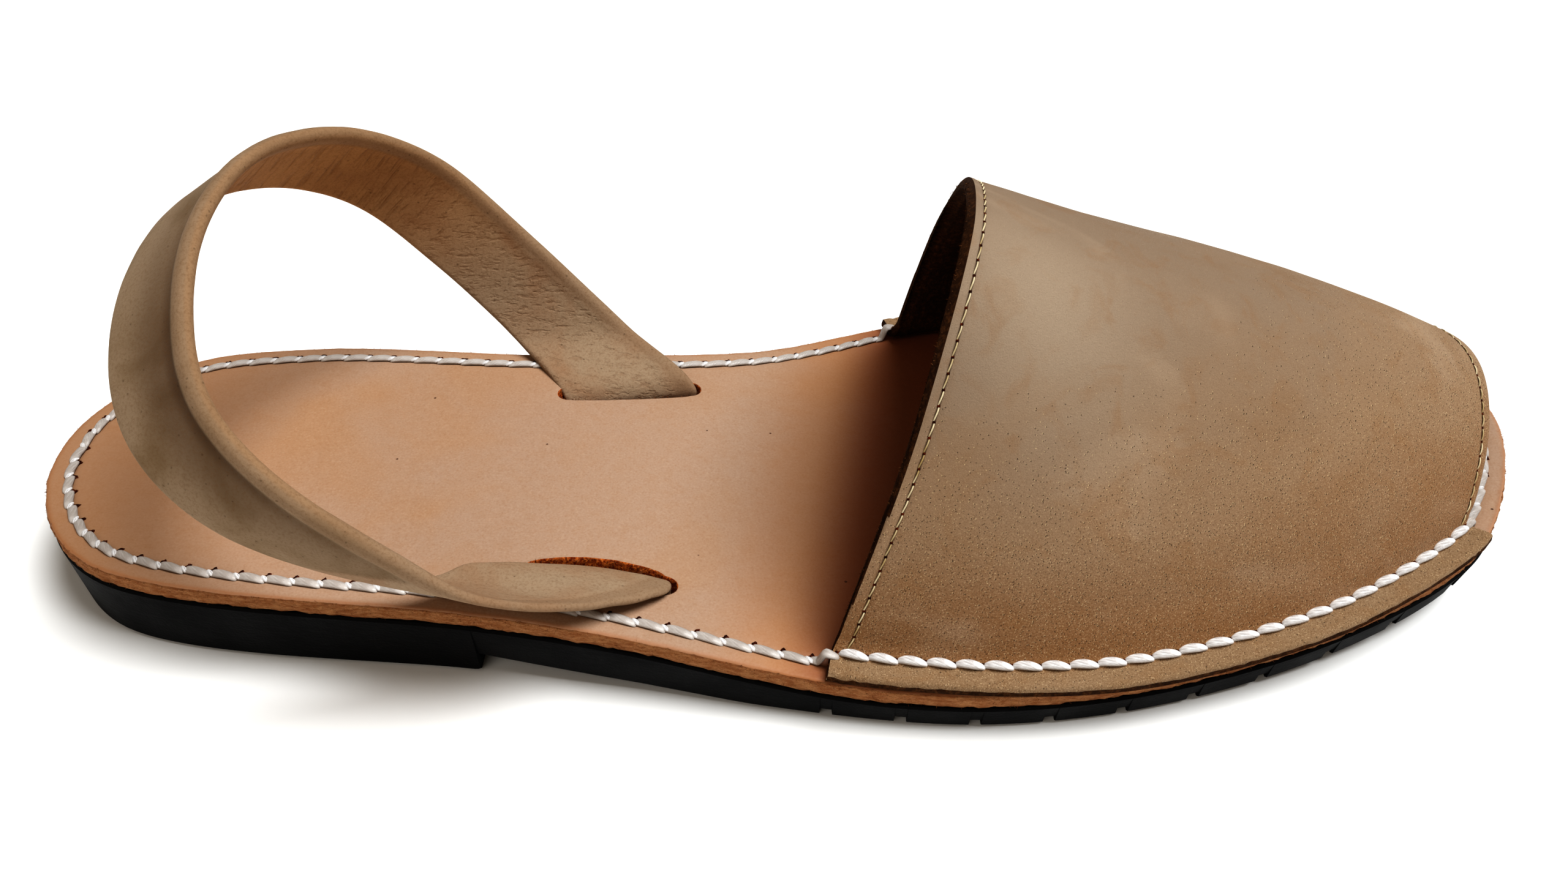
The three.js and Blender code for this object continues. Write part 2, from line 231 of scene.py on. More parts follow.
def resample(points, count, closed=False):
    """The same line with count points at equal distances."""
    line = np.vstack([points, points[:1]]) if closed else np.asarray(points)
    arc = arc_lengths(line)
    at = np.linspace(0, arc[-1], count, endpoint=not closed)
    return np.stack([np.interp(at, arc, line[:, k]) for k in range(line.shape[1])], 1)


# Heights along the shoe
def toe_rise(x):
    return TOE_SPRING * np.clip((x - TOE_BREAK) / (LENGTH / 2 - TOE_BREAK), 0, 2) ** 2


def footbed_top(x):
    back = np.clip((x + LENGTH / 2) / (RAMP_START + LENGTH / 2), 0, 1)
    rear = mix(HEEL_HEIGHT, WAIST_HEIGHT, back)
    return mix(rear, BALL_HEIGHT, smooth((x - RAMP_START) / (RAMP_END - RAMP_START))) + toe_rise(x)


def rubber_top(x):
    return footbed_top(x) - INSOLE_THICKNESS - CLEARANCE


def rubber_under(x):
    arch = np.clip((x - HEEL_BREAST) / (BALL_CONTACT - HEEL_BREAST), 0, 1)
    fore = ARCH_LIFT * (1 - arch) ** ARCH_FULLNESS + toe_rise(x)
    return np.where(x < HEEL_BREAST, 0.0, fore)


# The rim of the footbed, from the back of the heel along the outer side to the toe
OUTLINE = catmull_rom(np.array(OUTLINE_SHARES) * [LENGTH, WIDTH], True, 24)
RIM_COUNT = 760
RIM = resample(OUTLINE, RIM_COUNT, closed=True)
RIM_INWARD = unit(np.roll(RIM, 1, 0) - np.roll(RIM, -1, 0)) @ np.array([[0, -1], [1, 0]])
RIM_ARC = np.arange(RIM_COUNT) * np.linalg.norm(RIM[1] - RIM[0])
RIM_LENGTH = RIM_ARC[-1] + np.linalg.norm(RIM[0] - RIM[-1])
TOE_INDEX = int(np.argmax(RIM[:, 0]))
if np.sum(RIM_INWARD[TOE_INDEX] * RIM[TOE_INDEX]) > 0:
    RIM_INWARD = -RIM_INWARD


def rim_ring(inset):
    return RIM + RIM_INWARD * inset


def rim_distance(xy):
    """How far each point lies inside the rim, and the arc length of the rim point next to it."""
    nearest = np.array([np.argmin(((RIM - p) ** 2).sum(1)) for p in xy])
    inside = ((xy - RIM[nearest]) * RIM_INWARD[nearest]).sum(1)
    return inside, RIM_ARC[nearest]


def rim_side(side):
    """Indices of the rim's points on the outer (-1) or inner (1) side, from the heel to the toe."""
    chain = np.arange(0, TOE_INDEX + 1) if side < 0 else np.arange(TOE_INDEX, RIM_COUNT)
    return chain[np.argsort(RIM[chain, 0])]


def rim_at(x, side, inset):
    """The rim point at a given x, on the outer (-1) or inner (1) side, moved in from the edge."""
    order = rim_side(side)
    at = [np.interp(x, RIM[order, 0], line[order]) for line in (RIM[:, 1], *RIM_INWARD.T)]
    inward = unit(np.array(at[1:]))
    return np.array([x, at[0]]) + inward * inset


def rim_place(arc, inset):
    """The point at an arc length along the rim, moved in from the edge, and the inward way there."""
    spot = (arc % RIM_LENGTH) / RIM_LENGTH * RIM_COUNT
    first = int(spot) % RIM_COUNT
    second = (first + 1) % RIM_COUNT
    share = spot - int(spot)
    inward = unit(mix(RIM_INWARD[first], RIM_INWARD[second], share))
    return mix(RIM[first], RIM[second], share) + inward * inset, inward


class Shape:
    """Collects points, faces and values in millimetres until build() makes them one object."""

    def __init__(self, *values):
        self.points, self.faces, self.kinds = [], [], []
        self.values = {name: [] for name in values}

    def add(self, points, **values):
        start = len(self.points)
        self.points.extend(np.asarray(points, float).tolist())
        for name, stored in self.values.items():
            stored.extend(np.broadcast_to(values.get(name, 0.0), (len(points),)).tolist())
        return np.arange(start, len(self.points))

    def face(self, corners, kind=0):
        self.faces.append([int(c) for c in corners])
        self.kinds.append(kind)

    def strip(self, a, b, closed=True, kind=0):
        for i in range(len(a) if closed else len(a) - 1):
            j = (i + 1) % len(a)
            self.face((a[i], a[j], b[j], b[i]), kind)

    def build(self, name, materials, sharp=None, weld=1e-4):
        """One object of the collected faces, its points welded within weld millimetres."""
        if not self.faces:
            raise RuntimeError(f"{name} has no faces")
        mesh = bpy.data.meshes.new(name)
        mesh.from_pydata([[c * MM for c in p] for p in self.points], [], self.faces)
        for material in materials:
            mesh.materials.append(material)
        mesh.polygons.foreach_set("material_index", self.kinds)
        for key, stored in self.values.items():
            mesh.attributes.new(key, "FLOAT", "POINT").data.foreach_set("value", stored)
        work = bmesh.new()
        work.from_mesh(mesh)
        bmesh.ops.remove_doubles(work, verts=work.verts, dist=weld * MM)
        bmesh.ops.dissolve_degenerate(work, edges=work.edges, dist=weld * MM)
        bmesh.ops.recalc_face_normals(work, faces=work.faces)
        work.to_mesh(mesh)
        work.free()
        mesh.shade_smooth()
        if sharp:
            mesh.set_sharp_from_angle(angle=math.radians(sharp))
        piece = bpy.data.objects.new(name, mesh)
        bpy.context.scene.collection.objects.link(piece)
        return piece


def inside_loop(points, loop):
    """Which points lie inside a closed loop."""
    hit = np.zeros(len(points), bool)
    for a, b in zip(loop, np.roll(loop, -1, 0)):
        crosses = (a[1] > points[:, 1]) != (b[1] > points[:, 1])
        rise = b[1] - a[1] if abs(b[1] - a[1]) > 1e-12 else 1e-12
        hit ^= crosses & (points[:, 0] < (b[0] - a[0]) * (points[:, 1] - a[1]) / rise + a[0])
    return hit


def plan_sheet(loops, free):
    """Triangles, seen in plan, that fill the first loop round the holes of the other loops."""
    stacked = np.vstack([*loops, free])
    edges, start = [], 0
    for loop in loops:
        count = len(loop)
        edges += [(start + i, start + (i + 1) % count) for i in range(count)]
        start += count
    corners = [Vector(p) for p in stacked]
    coords, _, faces, origin, _, _ = delaunay_2d_cdt(corners, edges, [], 1, 1e-6)
    coords = np.array([tuple(c) for c in coords])
    place = np.zeros(len(stacked), int)
    for new, old in enumerate(origin):
        for index in old:
            place[index] = new
    faces = np.array([tuple(f) for f in faces])
    middle = coords[faces].mean(1)
    keep = np.ones(len(faces), bool)
    for hole in loops[1:]:
        keep &= ~inside_loop(middle, hole)
    rings, start = [], 0
    for loop in loops:
        rings.append(place[start:start + len(loop)])
        start += len(loop)
    return coords, faces[keep], rings


def slot_loop(side, grow):
    """Outline of the long slot for one end of the strap, widened by grow."""
    half = STRAP_THICKNESS / 2 + 1.5 * CLEARANCE
    straight = SLOT_CHORD / 2 - STRAP_THICKNESS / 2 + CLEARANCE
    angles = np.radians(np.linspace(-90, 90, 13))
    shares = np.linspace(0, 1, 41)[1:-1]
    fullness = SLOT_PLAY[side] * np.sin(np.pi * shares) ** 0.6
    front = np.stack([straight + np.cos(angles) * (half + CLEARANCE), -np.sin(angles) * half], 1)
    inner = np.stack([mix(straight, -straight, shares), -half - fullness], 1)
    back = np.stack([-straight - np.cos(angles) * (half + CLEARANCE), np.sin(angles) * half], 1)
    loop = resample(np.vstack([front, inner, back]), SLOT_POINTS, closed=True)
    outward = unit(np.roll(loop, 1, 0) - np.roll(loop, -1, 0)) @ np.array([[0, 1], [-1, 0]])
    if np.sum(outward * loop) < 0:
        outward = -outward
    loop = (loop + outward * grow) * [1, side]
    c, s = math.cos(SLOT_TURN[side]), math.sin(SLOT_TURN[side])
    turned = loop @ np.array([[c, s], [-s, c]])
    return turned + [SLOT_MIDDLE, HEEL_LINE + SLOT_OFFSET[side]]


def lifted(xy, z):
    return np.column_stack([xy, np.broadcast_to(z, len(xy))])


# Nodes and materials
SMOOTH = {"interpolation_type": "SMOOTHSTEP"}
COLOUR_MIX = {"output": 2, "data_type": "RGBA"}


def add_node(tree, kind, inputs=(), output=0, **settings):
    """Adds a shader node, sets its settings, sets or links its inputs, and returns one output."""
    node = tree.nodes.new("ShaderNode" + kind)
    for name, value in settings.items():
        setattr(node, name, value)
    for key, value in inputs.items() if isinstance(inputs, dict) else enumerate(inputs):
        if isinstance(value, bpy.types.NodeSocket):
            tree.links.new(value, node.inputs[key])
        else:
            node.inputs[key].default_value = value
    return node.outputs[output]


def new_material(name, **values):
    """A material with one Principled shader. Returns it with its tree, shader and coordinates."""
    material = bpy.data.materials.new(name)
    material.use_nodes = True
    tree = material.node_tree
    tree.nodes.clear()
    surface = add_node(tree, "BsdfPrincipled", values)
    output = tree.nodes.new("ShaderNodeOutputMaterial")
    tree.links.new(surface, output.inputs[0])
    return material, tree, surface.node, add_node(tree, "TexCoord", output="Object")


def size_mm(size):
    """Texture scale for a pattern whose repeat is size millimetres, in metre coordinates."""
    return 1 / (size * MM)


def moulded_rubber(colours):
    # Carbon-black sole rubber from a mould: nearly black, matt, with a fine blasted grain.
    # The blasting grit is about 0.2 mm, and is drawn at 0.5 mm so that it shows.
    material, tree, shader, place = new_material(
        "moulded_rubber", Roughness=0.68, IOR=1.5, **{"Specular IOR Level": 0.12},
    )
    patches = add_node(tree, "TexNoise", {"Vector": place, "Scale": size_mm(14), "Detail": 3})
    dust = add_node(
        tree, "MapRange",
        (
            add_node(
                tree, "TexNoise",
                {"Vector": place, "Scale": size_mm(1.1), "Detail": 4, "Roughness": 0.7},
            ),
            0.56, 0.75,
        ),
        **SMOOTH,
    )
    colour = add_node(
        tree, "Mix", {0: patches, 6: list(colours.rubber), 7: linear("#101011")}, **COLOUR_MIX,
    )
    dust_share = add_node(tree, "Math", (dust, 0.22), operation="MULTIPLY")
    colour = add_node(tree, "Mix", {0: dust_share, 6: colour, 7: linear("#2b2a28")}, **COLOUR_MIX)
    tree.links.new(colour, shader.inputs["Base Color"])
    tree.links.new(
        add_node(tree, "MapRange", (patches, 0.3, 0.7, 0.6, 0.78), **SMOOTH),
        shader.inputs["Roughness"],
    )
    fine = add_node(
        tree, "Bump",
        {
            "Height": add_node(
                tree, "TexNoise",
                {"Vector": place, "Scale": size_mm(0.5), "Detail": 3, "Roughness": 0.6},
            ),
            "Distance": 0.09 * MM,
        },
    )
    drag = add_node(
        tree, "TexNoise",
        {
            "Vector": add_node(tree, "Mapping", {"Vector": place, "Scale": (0.25, 0.25, 1)}),
            "Scale": size_mm(1.2), "Detail": 2,
        },
    )
    tree.links.new(
        add_node(tree, "Bump", {"Height": drag, "Distance": 0.1 * MM, "Normal": fine}),
        shader.inputs["Normal"],
    )
    return material


def tanned_leather(colours):
    # Vegetable-tanned cowhide, grain side up: peach, smooth, with pores and darker clouds, and painted
    # shade: deeper orange at the heel behind the strap, orange to dark red-brown beside the vamp's
    # throat.
    # Hair pores are about 0.1 mm wide, and are drawn at 0.4 mm so that they show.
    material, tree, shader, place = new_material(
        "vegetable_tanned_leather", Roughness=0.5, IOR=1.47, **{"Specular IOR Level": 0.35},
    )
    clouds = add_node(
        tree, "TexNoise",
        {"Vector": place, "Scale": size_mm(34), "Detail": 3, "Roughness": 0.55, "Distortion": 0.4},
    )
    mottle = add_node(
        tree, "TexNoise", {"Vector": place, "Scale": size_mm(2.6), "Detail": 5, "Roughness": 0.68},
    )
    dots = add_node(
        tree, "TexNoise", {"Vector": place, "Scale": size_mm(0.4), "Detail": 2, "Roughness": 0.6},
    )
    colour = add_node(
        tree, "Mix",
        {
            0: add_node(tree, "MapRange", (clouds, 0.42, 0.75), **SMOOTH), 6: list(colours.footbed),
            7: linear("#aa876a"),
        },
        **COLOUR_MIX,
    )
    colour = add_node(
        tree, "Mix",
        {
            0: add_node(tree, "MapRange", (mottle, 0.38, 0.7, 0.0, 0.22), **SMOOTH), 6: colour,
            7: linear("#9c7450"),
        },
        **COLOUR_MIX,
    )
    colour = add_node(
        tree, "Mix",
        {
            0: add_node(tree, "MapRange", (dots, 0.5, 0.72, 0.0, 0.25), **SMOOTH), 6: colour,
            7: linear("#8d633e"),
        },
        **COLOUR_MIX,
    )
    colour = add_node(
        tree, "Mix",
        {
            0: add_node(tree, "MapRange", (dots, 0.46, 0.3, 0.0, 0.13), **SMOOTH), 6: colour,
            7: linear("#cdb49c"),
        },
        **COLOUR_MIX,
    )
    # Places in metres along the shoe, level for the heel and slanted for the throat of the vamp
    along = add_node(tree, "SeparateXYZ", (place,))
    aside = along.node.outputs["Y"]
    throat = add_node(
        tree, "Math", (along, add_node(tree, "Math", (aside, 0.12), operation="MULTIPLY")),
        operation="SUBTRACT",
    )
    drifting = add_node(
        tree, "Math", (along, add_node(tree, "Math", (clouds, 0.03), operation="MULTIPLY")),
        operation="ADD",
    )
    # Painted shade: deeper orange towards the heel, behind the strap
    heel_shade = add_node(tree, "MapRange", (drifting, -0.065, -0.115), **SMOOTH)
    heel_shade_share = add_node(tree, "Math", (heel_shade, 0.5), operation="MULTIPLY")
    colour = add_node(tree, "Mix", {0: heel_shade_share, 6: colour, 7: linear("#a3744a")}, **COLOUR_MIX)
    # Painted shade of the vamp on the footbed next to its throat: orange at the edge of the shadow,
    # dark red-brown under the vamp
    under_vamp = add_node(tree, "MapRange", (along, 0.118, 0.1), **SMOOTH)
    shaded = add_node(
        tree, "Math", (add_node(tree, "MapRange", (throat, -0.013, 0.008), **SMOOTH), under_vamp),
        operation="MULTIPLY",
    )
    shaded_share = add_node(tree, "Math", (shaded, 0.45), operation="MULTIPLY")
    colour = add_node(tree, "Mix", {0: shaded_share, 6: colour, 7: linear("#b3753c")}, **COLOUR_MIX)
    throat_shade = add_node(
        tree, "Math", (add_node(tree, "MapRange", (throat, 0.003, 0.017), **SMOOTH), under_vamp),
        operation="MULTIPLY",
    )
    throat_shade_share = add_node(tree, "Math", (throat_shade, 0.75), operation="MULTIPLY")
    colour = add_node(
        tree, "Mix", {0: throat_shade_share, 6: colour, 7: linear("#7a3614")}, **COLOUR_MIX,
    )
    pores = add_node(tree, "TexVoronoi", {"Vector": place, "Scale": size_mm(9.0)})
    specks = add_node(tree, "MapRange", (pores, 0.032, 0.018), **SMOOTH)
    specks_share = add_node(tree, "Math", (specks, 0.8), operation="MULTIPLY")
    colour = add_node(tree, "Mix", {0: specks_share, 6: colour, 7: linear("#4a2813")}, **COLOUR_MIX)
    ragged = add_node(
        tree, "Math",
        (
            add_node(tree, "Attribute", output="Fac", attribute_name="inset"),
            add_node(tree, "Math", (mottle, 1.2), operation="MULTIPLY"),
        ),
        operation="ADD",
    )
    edge = add_node(tree, "MapRange", (ragged, 2.0, 0.7), **SMOOTH)
    edge_share = add_node(tree, "Math", (edge, 0.6), operation="MULTIPLY")
    colour = add_node(tree, "Mix", {0: edge_share, 6: colour, 7: linear("#a06c44")}, **COLOUR_MIX)
    tree.links.new(colour, shader.inputs["Base Color"])
    tree.links.new(
        add_node(tree, "MapRange", (mottle, 0.3, 0.7, 0.42, 0.6), **SMOOTH),
        shader.inputs["Roughness"],
    )
    coarse = add_node(
        tree, "Bump",
        {
            "Height": add_node(
                tree, "TexNoise", {"Vector": place, "Scale": size_mm(6.0), "Detail": 2},
            ),
            "Distance": 0.12 * MM,
        },
    )
    hair = add_node(
        tree, "Bump",
        {
            "Height": add_node(
                tree, "TexNoise",
                {"Vector": place, "Scale": size_mm(0.9), "Detail": 4, "Roughness": 0.65},
            ),
            "Distance": 0.055 * MM, "Normal": coarse,
        },
    )
    pits = add_node(
        tree, "Bump",
        {
            "Height": add_node(tree, "Math", (1.0, specks), operation="SUBTRACT"),
            "Distance": 0.1 * MM, "Normal": hair,
        },
    )
    tree.links.new(pits, shader.inputs["Normal"])
    return material


def cut_edge_leather(colours):
    # The same hide where a knife has cut through it: orange-brown fibres, dry and rough.
    # The fibre bundles are about 0.1 mm thick, and are drawn at 0.45 mm so that they show.
    material, tree, shader, place = new_material(
        "cut_leather_edge", Roughness=0.85, IOR=1.45, **{"Specular IOR Level": 0.25},
    )
    streaks = add_node(
        tree, "TexNoise",
        {
            "Vector": add_node(tree, "Mapping", {"Vector": place, "Scale": (1, 1, 3.6)}),
            "Scale": size_mm(2.4), "Detail": 5, "Roughness": 0.72,
        },
    )
    tufts = add_node(
        tree, "TexNoise",
        {
            "Vector": add_node(tree, "Mapping", {"Vector": place, "Scale": (1, 1, 1.8)}),
            "Scale": size_mm(0.45), "Detail": 4, "Roughness": 0.8,
        },
    )
    colour = add_node(
        tree, "Mix",
        {
            0: add_node(tree, "MapRange", (streaks, 0.35, 0.65), **SMOOTH),
            6: list(colours.cut_edge), 7: linear("#c48f60"),
        },
        **COLOUR_MIX,
    )
    colour = add_node(
        tree, "Mix",
        {
            0: add_node(tree, "MapRange", (tufts, 0.5, 0.72, 0, 0.6), **SMOOTH), 6: colour,
            7: linear("#4c2711"),
        },
        **COLOUR_MIX,
    )
    depth = add_node(tree, "Attribute", output="Fac", attribute_name="depth")
    lines = add_node(
        tree, "Math",
        (
            add_node(tree, "MapRange", (depth, 0.75, 0.2), **SMOOTH),
            add_node(tree, "MapRange", (depth, 2.4, 3.3), **SMOOTH),
        ),
        operation="ADD",
    )
    lines_share = add_node(tree, "Math", (lines, 0.4), operation="MULTIPLY")
    colour = add_node(tree, "Mix", {0: lines_share, 6: colour, 7: linear("#5e2f14")}, **COLOUR_MIX)
    tree.links.new(colour, shader.inputs["Base Color"])
    rough = add_node(tree, "Bump", {"Height": tufts, "Distance": 0.4 * MM})
    tree.links.new(
        add_node(tree, "Bump", {"Height": streaks, "Distance": 0.35 * MM, "Normal": rough}),
        shader.inputs["Normal"],
    )
    return material


def slot_wall_leather():
    # The hide inside a slot, punched and torn: loose red-orange fibres with dark gaps between.
    # Single fibres are under 0.1 mm thick, and tufts of them are drawn at 0.7 mm.
    material, tree, shader, place = new_material(
        "torn_slot_wall", Roughness=0.95, IOR=1.45, **{"Specular IOR Level": 0.15},
    )
    fibres = add_node(
        tree, "TexNoise",
        {"Vector": place, "Scale": size_mm(0.7), "Detail": 4, "Roughness": 0.75, "Distortion": 0.5},
    )
    tufts = add_node(
        tree, "TexNoise", {"Vector": place, "Scale": size_mm(2.2), "Detail": 3, "Roughness": 0.6},
    )
    colour = add_node(
        tree, "Mix",
        {
            0: add_node(tree, "MapRange", (fibres, 0.4, 0.66), **SMOOTH), 6: linear("#7c3212"),
            7: linear("#d9803c"),
        },
        **COLOUR_MIX,
    )
    colour = add_node(
        tree, "Mix",
        {
            0: add_node(tree, "MapRange", (tufts, 0.55, 0.8, 0, 0.6), **SMOOTH), 6: colour,
            7: linear("#e0a878"),
        },
        **COLOUR_MIX,
    )
    tree.links.new(colour, shader.inputs["Base Color"])
    tree.links.new(
        add_node(tree, "Bump", {"Height": fibres, "Distance": 0.5 * MM}), shader.inputs["Normal"],
    )
    return material


def open_pores(tree, place, size, share, shift):
    """Masks of pores and of the lip beside each, for a share of cells of that size. The callers darken
    the pores as painted shade and lighten the lips as a painted highlight.
    """
    warp = add_node(tree, "TexNoise", {
        "Vector": place, "Scale": size_mm(0.3), "Detail": 1.0,
    }, output="Color")
    reach = (0.0003, 0.0003, 0.0003)
    bent = add_node(tree, "VectorMath", (warp, reach, place), operation="MULTIPLY_ADD")
    moved = add_node(tree, "VectorMath", (bent, shift), operation="ADD")
    cells = add_node(tree, "TexVoronoi", {"Vector": bent, "Scale": size_mm(size)})
    beside = add_node(tree, "TexVoronoi", {"Vector": moved, "Scale": size_mm(size)})
    chance = add_node(tree, "SeparateColor", (cells.node.outputs["Color"],))
    partner = add_node(tree, "SeparateColor", (beside.node.outputs["Color"],))
    open_here = add_node(tree, "Math", (chance, share), operation="LESS_THAN")
    open_beside = add_node(tree, "Math", (partner, share), operation="LESS_THAN")
    pit = add_node(
        tree, "Math", (add_node(tree, "MapRange", (cells, 0.27, 0.1), **SMOOTH), open_here),
        operation="MULTIPLY",
    )
    lip = add_node(
        tree, "Math", (add_node(tree, "MapRange", (beside, 0.28, 0.1), **SMOOTH), open_beside),
        operation="MULTIPLY",
    )
    return pit, lip


def brushed_nubuck(colours):
    # Cowhide buffed on the grain side: dull tan-brown nap, open pores, paler in patches worn by
    # rubbing. Painted light: warmer and darker low down, greyer high up, a paler patch of painted
    # sheen, painted shade in the hem grooves and pores, a painted highlight on the pores' lips.
    # Nap fibres are about 0.05 mm thick, and are drawn at 0.26 mm so that they show.
    material, tree, shader, place = new_material(
        "brushed_nubuck", Roughness=0.92, IOR=1.45, **{
            "Specular IOR Level": 0.15, "Sheen Weight": 0.12, "Sheen Roughness": 0.45,
            "Sheen Tint": linear("#d8ccbe"),
        },
    )
    low = add_node(tree, "Attribute", output="Fac", attribute_name="low")
    clouds = add_node(
        tree, "TexNoise",
        {"Vector": place, "Scale": size_mm(26), "Detail": 3, "Roughness": 0.5, "Distortion": 0.6},
    )
    rubs = add_node(
        tree, "TexNoise",
        {
            "Vector": add_node(tree, "Mapping", {"Vector": place, "Scale": (1, 1.4, 1.2)}),
            "Scale": size_mm(34), "Detail": 3, "Roughness": 0.55, "Distortion": 0.6,
        },
    )
    # Painted light by height: warmer and darker low down, greyer high up, mixed with random clouds
    height_light_and_clouds = add_node(
        tree, "Math",
        (
            low,
            add_node(
                tree, "Math", (add_node(tree, "Math", (clouds, 0.5), operation="SUBTRACT"), 0.5),
                operation="MULTIPLY",
            ),
        ),
        operation="ADD",
    )
    colour = add_node(
        tree, "Mix",
        {
            0: add_node(tree, "MapRange", (height_light_and_clouds, 0.05, 0.5), **SMOOTH), 6: linear("#8c6847"),
            7: list(colours.vamp),
        },
        **COLOUR_MIX,
    )
    colour = add_node(
        tree, "Mix",
        {
            0: add_node(tree, "MapRange", (height_light_and_clouds, 0.45, 1.0), **SMOOTH), 6: colour,
            7: linear("#8c7966"),
        },
        **COLOUR_MIX,
    )
    colour = add_node(
        tree, "Mix",
        {
            0: add_node(tree, "MapRange", (rubs, 0.54, 0.76, 0, 0.45), **SMOOTH), 6: colour,
            7: linear("#b5a08a"),
        },
        **COLOUR_MIX,
    )
    colour = add_node(
        tree, "Mix",
        {
            0: add_node(tree, "MapRange", (rubs, 0.46, 0.26, 0, 0.3), **SMOOTH), 6: colour,
            7: linear("#83623f"),
        },
        **COLOUR_MIX,
    )
    # Painted sheen: a paler patch on the vamp's upper face
    rubbed = add_node(
        tree, "Math", (add_node(tree, "Attribute", output="Fac", attribute_name="rubbed"), 0.45),
        operation="MULTIPLY",
    )
    colour = add_node(tree, "Mix", {0: rubbed, 6: colour, 7: linear("#b7a692")}, **COLOUR_MIX)
    flange = add_node(
        tree, "MapRange",
        (add_node(tree, "Attribute", output="Fac", attribute_name="rim"), 4.4, 3.2), **SMOOTH,
    )
    flange_share = add_node(tree, "Math", (flange, 0.75), operation="MULTIPLY")
    colour = add_node(tree, "Mix", {0: flange_share, 6: colour, 7: linear("#927c62")}, **COLOUR_MIX)
    patches = add_node(
        tree, "TexNoise",
        {"Vector": place, "Scale": size_mm(7), "Detail": 3, "Roughness": 0.6, "Distortion": 0.8},
    )
    colour = add_node(
        tree, "Mix",
        {
            0: add_node(tree, "MapRange", (patches, 0.48, 0.72, 0, 0.22), **SMOOTH), 6: colour,
            7: linear("#8a6238"),
        },
        **COLOUR_MIX,
    )
    nap = add_node(
        tree, "TexNoise", {"Vector": place, "Scale": size_mm(0.26), "Detail": 3, "Roughness": 0.8},
    )
    bristle = add_node(tree, "MapRange", (low, 0.9, 0.1, 0.12, 0.7), **SMOOTH)
    dark = add_node(
        tree, "Math", (add_node(tree, "MapRange", (nap, 0.5, 0.7), **SMOOTH), bristle),
        operation="MULTIPLY",
    )
    light = add_node(
        tree, "Math", (add_node(tree, "MapRange", (nap, 0.44, 0.3), **SMOOTH), bristle),
        operation="MULTIPLY",
    )
    colour = add_node(tree, "Mix", {0: dark, 6: colour, 7: linear("#5e3f22")}, **COLOUR_MIX)
    colour = add_node(tree, "Mix", {0: light, 6: colour, 7: linear("#d2b998")}, **COLOUR_MIX)
    low_down = add_node(
        tree, "Math",
        (
            add_node(tree, "MapRange", (low, 1.05, 0.2), **SMOOTH),
            add_node(tree, "Math", (rubs, 0.15), operation="MULTIPLY"),
        ),
        operation="SUBTRACT",
    )
    off_flange = add_node(
        tree, "Math", (1.0, add_node(tree, "Math", (flange, 0.7), operation="MULTIPLY")),
        operation="SUBTRACT",
    )
    amount = add_node(tree, "Math", (low_down, off_flange), operation="MULTIPLY")
    past_throat = add_node(
        tree, "Math",
        (add_node(tree, "Attribute", output="Fac", attribute_name="throat"), HEM_LINE),
        operation="SUBTRACT",
    )
    past_toe = add_node(
        tree, "Math", (add_node(tree, "Attribute", output="Fac", attribute_name="toe"), HEM_LINE),
        operation="SUBTRACT",
    )
    off_throat = add_node(tree, "Math", (past_throat,), operation="ABSOLUTE")
    off_toe = add_node(tree, "Math", (past_toe,), operation="ABSOLUTE")
    off_line = add_node(tree, "Math", (off_throat, off_toe), operation="MINIMUM")
    above_flange = add_node(
        tree, "MapRange", (add_node(tree, "Attribute", output="Fac", attribute_name="rim"), 5, 7),
        **SMOOTH,
    )
    # Painted shade in the groove that the hem line pulls into the nap
    groove_shade = add_node(
        tree, "Math",
        (add_node(tree, "MapRange", (off_line, 0.42, 0.1, 0, 0.75), **SMOOTH), above_flange),
        operation="MULTIPLY",
    )
    colour = add_node(tree, "Mix", {0: groove_shade, 6: colour, 7: linear("#3a2411")}, **COLOUR_MIX)
    # Painted highlight on the lip beside each pore, and painted shade in the pore
    pit, lip = open_pores(tree, place, 0.44, amount, (0.00011, 0.00003, -0.00011))
    lip_highlight_share = add_node(tree, "Math", (lip, 0.5), operation="MULTIPLY")
    colour = add_node(tree, "Mix", {0: lip_highlight_share, 6: colour, 7: linear("#dfc69c")}, **COLOUR_MIX)
    pore_shade_share = add_node(tree, "Math", (pit, 0.6), operation="MULTIPLY")
    colour = add_node(tree, "Mix", {0: pore_shade_share, 6: colour, 7: linear("#2c1808")}, **COLOUR_MIX)
    tree.links.new(colour, shader.inputs["Base Color"])
    soft = add_node(tree, "Bump", {"Height": nap, "Distance": 0.14 * MM})
    tree.links.new(
        add_node(
            tree, "Bump",
            {
                "Height": add_node(tree, "Math", (1.0, pit), operation="SUBTRACT"),
                "Distance": 0.15 * MM, "Normal": soft,
            },
        ),
        shader.inputs["Normal"],
    )
    return material


def flesh_side(colours):
    # Back of the upper leather and its cut edge: dark brown, loose fibres, no gloss
    material, tree, shader, place = new_material(
        "leather_flesh_side", Roughness=0.95, IOR=1.45, **{"Specular IOR Level": 0.15},
    )
    fibres = add_node(
        tree, "TexNoise", {"Vector": place, "Scale": size_mm(0.8), "Detail": 5, "Roughness": 0.75},
    )
    clouds = add_node(tree, "TexNoise", {"Vector": place, "Scale": size_mm(9), "Detail": 2})
    colour = add_node(
        tree, "Mix",
        {
            0: add_node(tree, "MapRange", (fibres, 0.42, 0.75), **SMOOTH), 6: list(colours.flesh),
            7: linear("#6b4526"),
        },
        **COLOUR_MIX,
    )
    colour = add_node(
        tree, "Mix",
        {
            0: add_node(tree, "MapRange", (clouds, 0.4, 0.7, 0, 0.5), **SMOOTH), 6: colour,
            7: linear("#231207"),
        },
        **COLOUR_MIX,
    )
    tree.links.new(colour, shader.inputs["Base Color"])
    tree.links.new(
        add_node(tree, "Bump", {"Height": fibres, "Distance": 0.45 * MM}), shader.inputs["Normal"],
    )
    return material


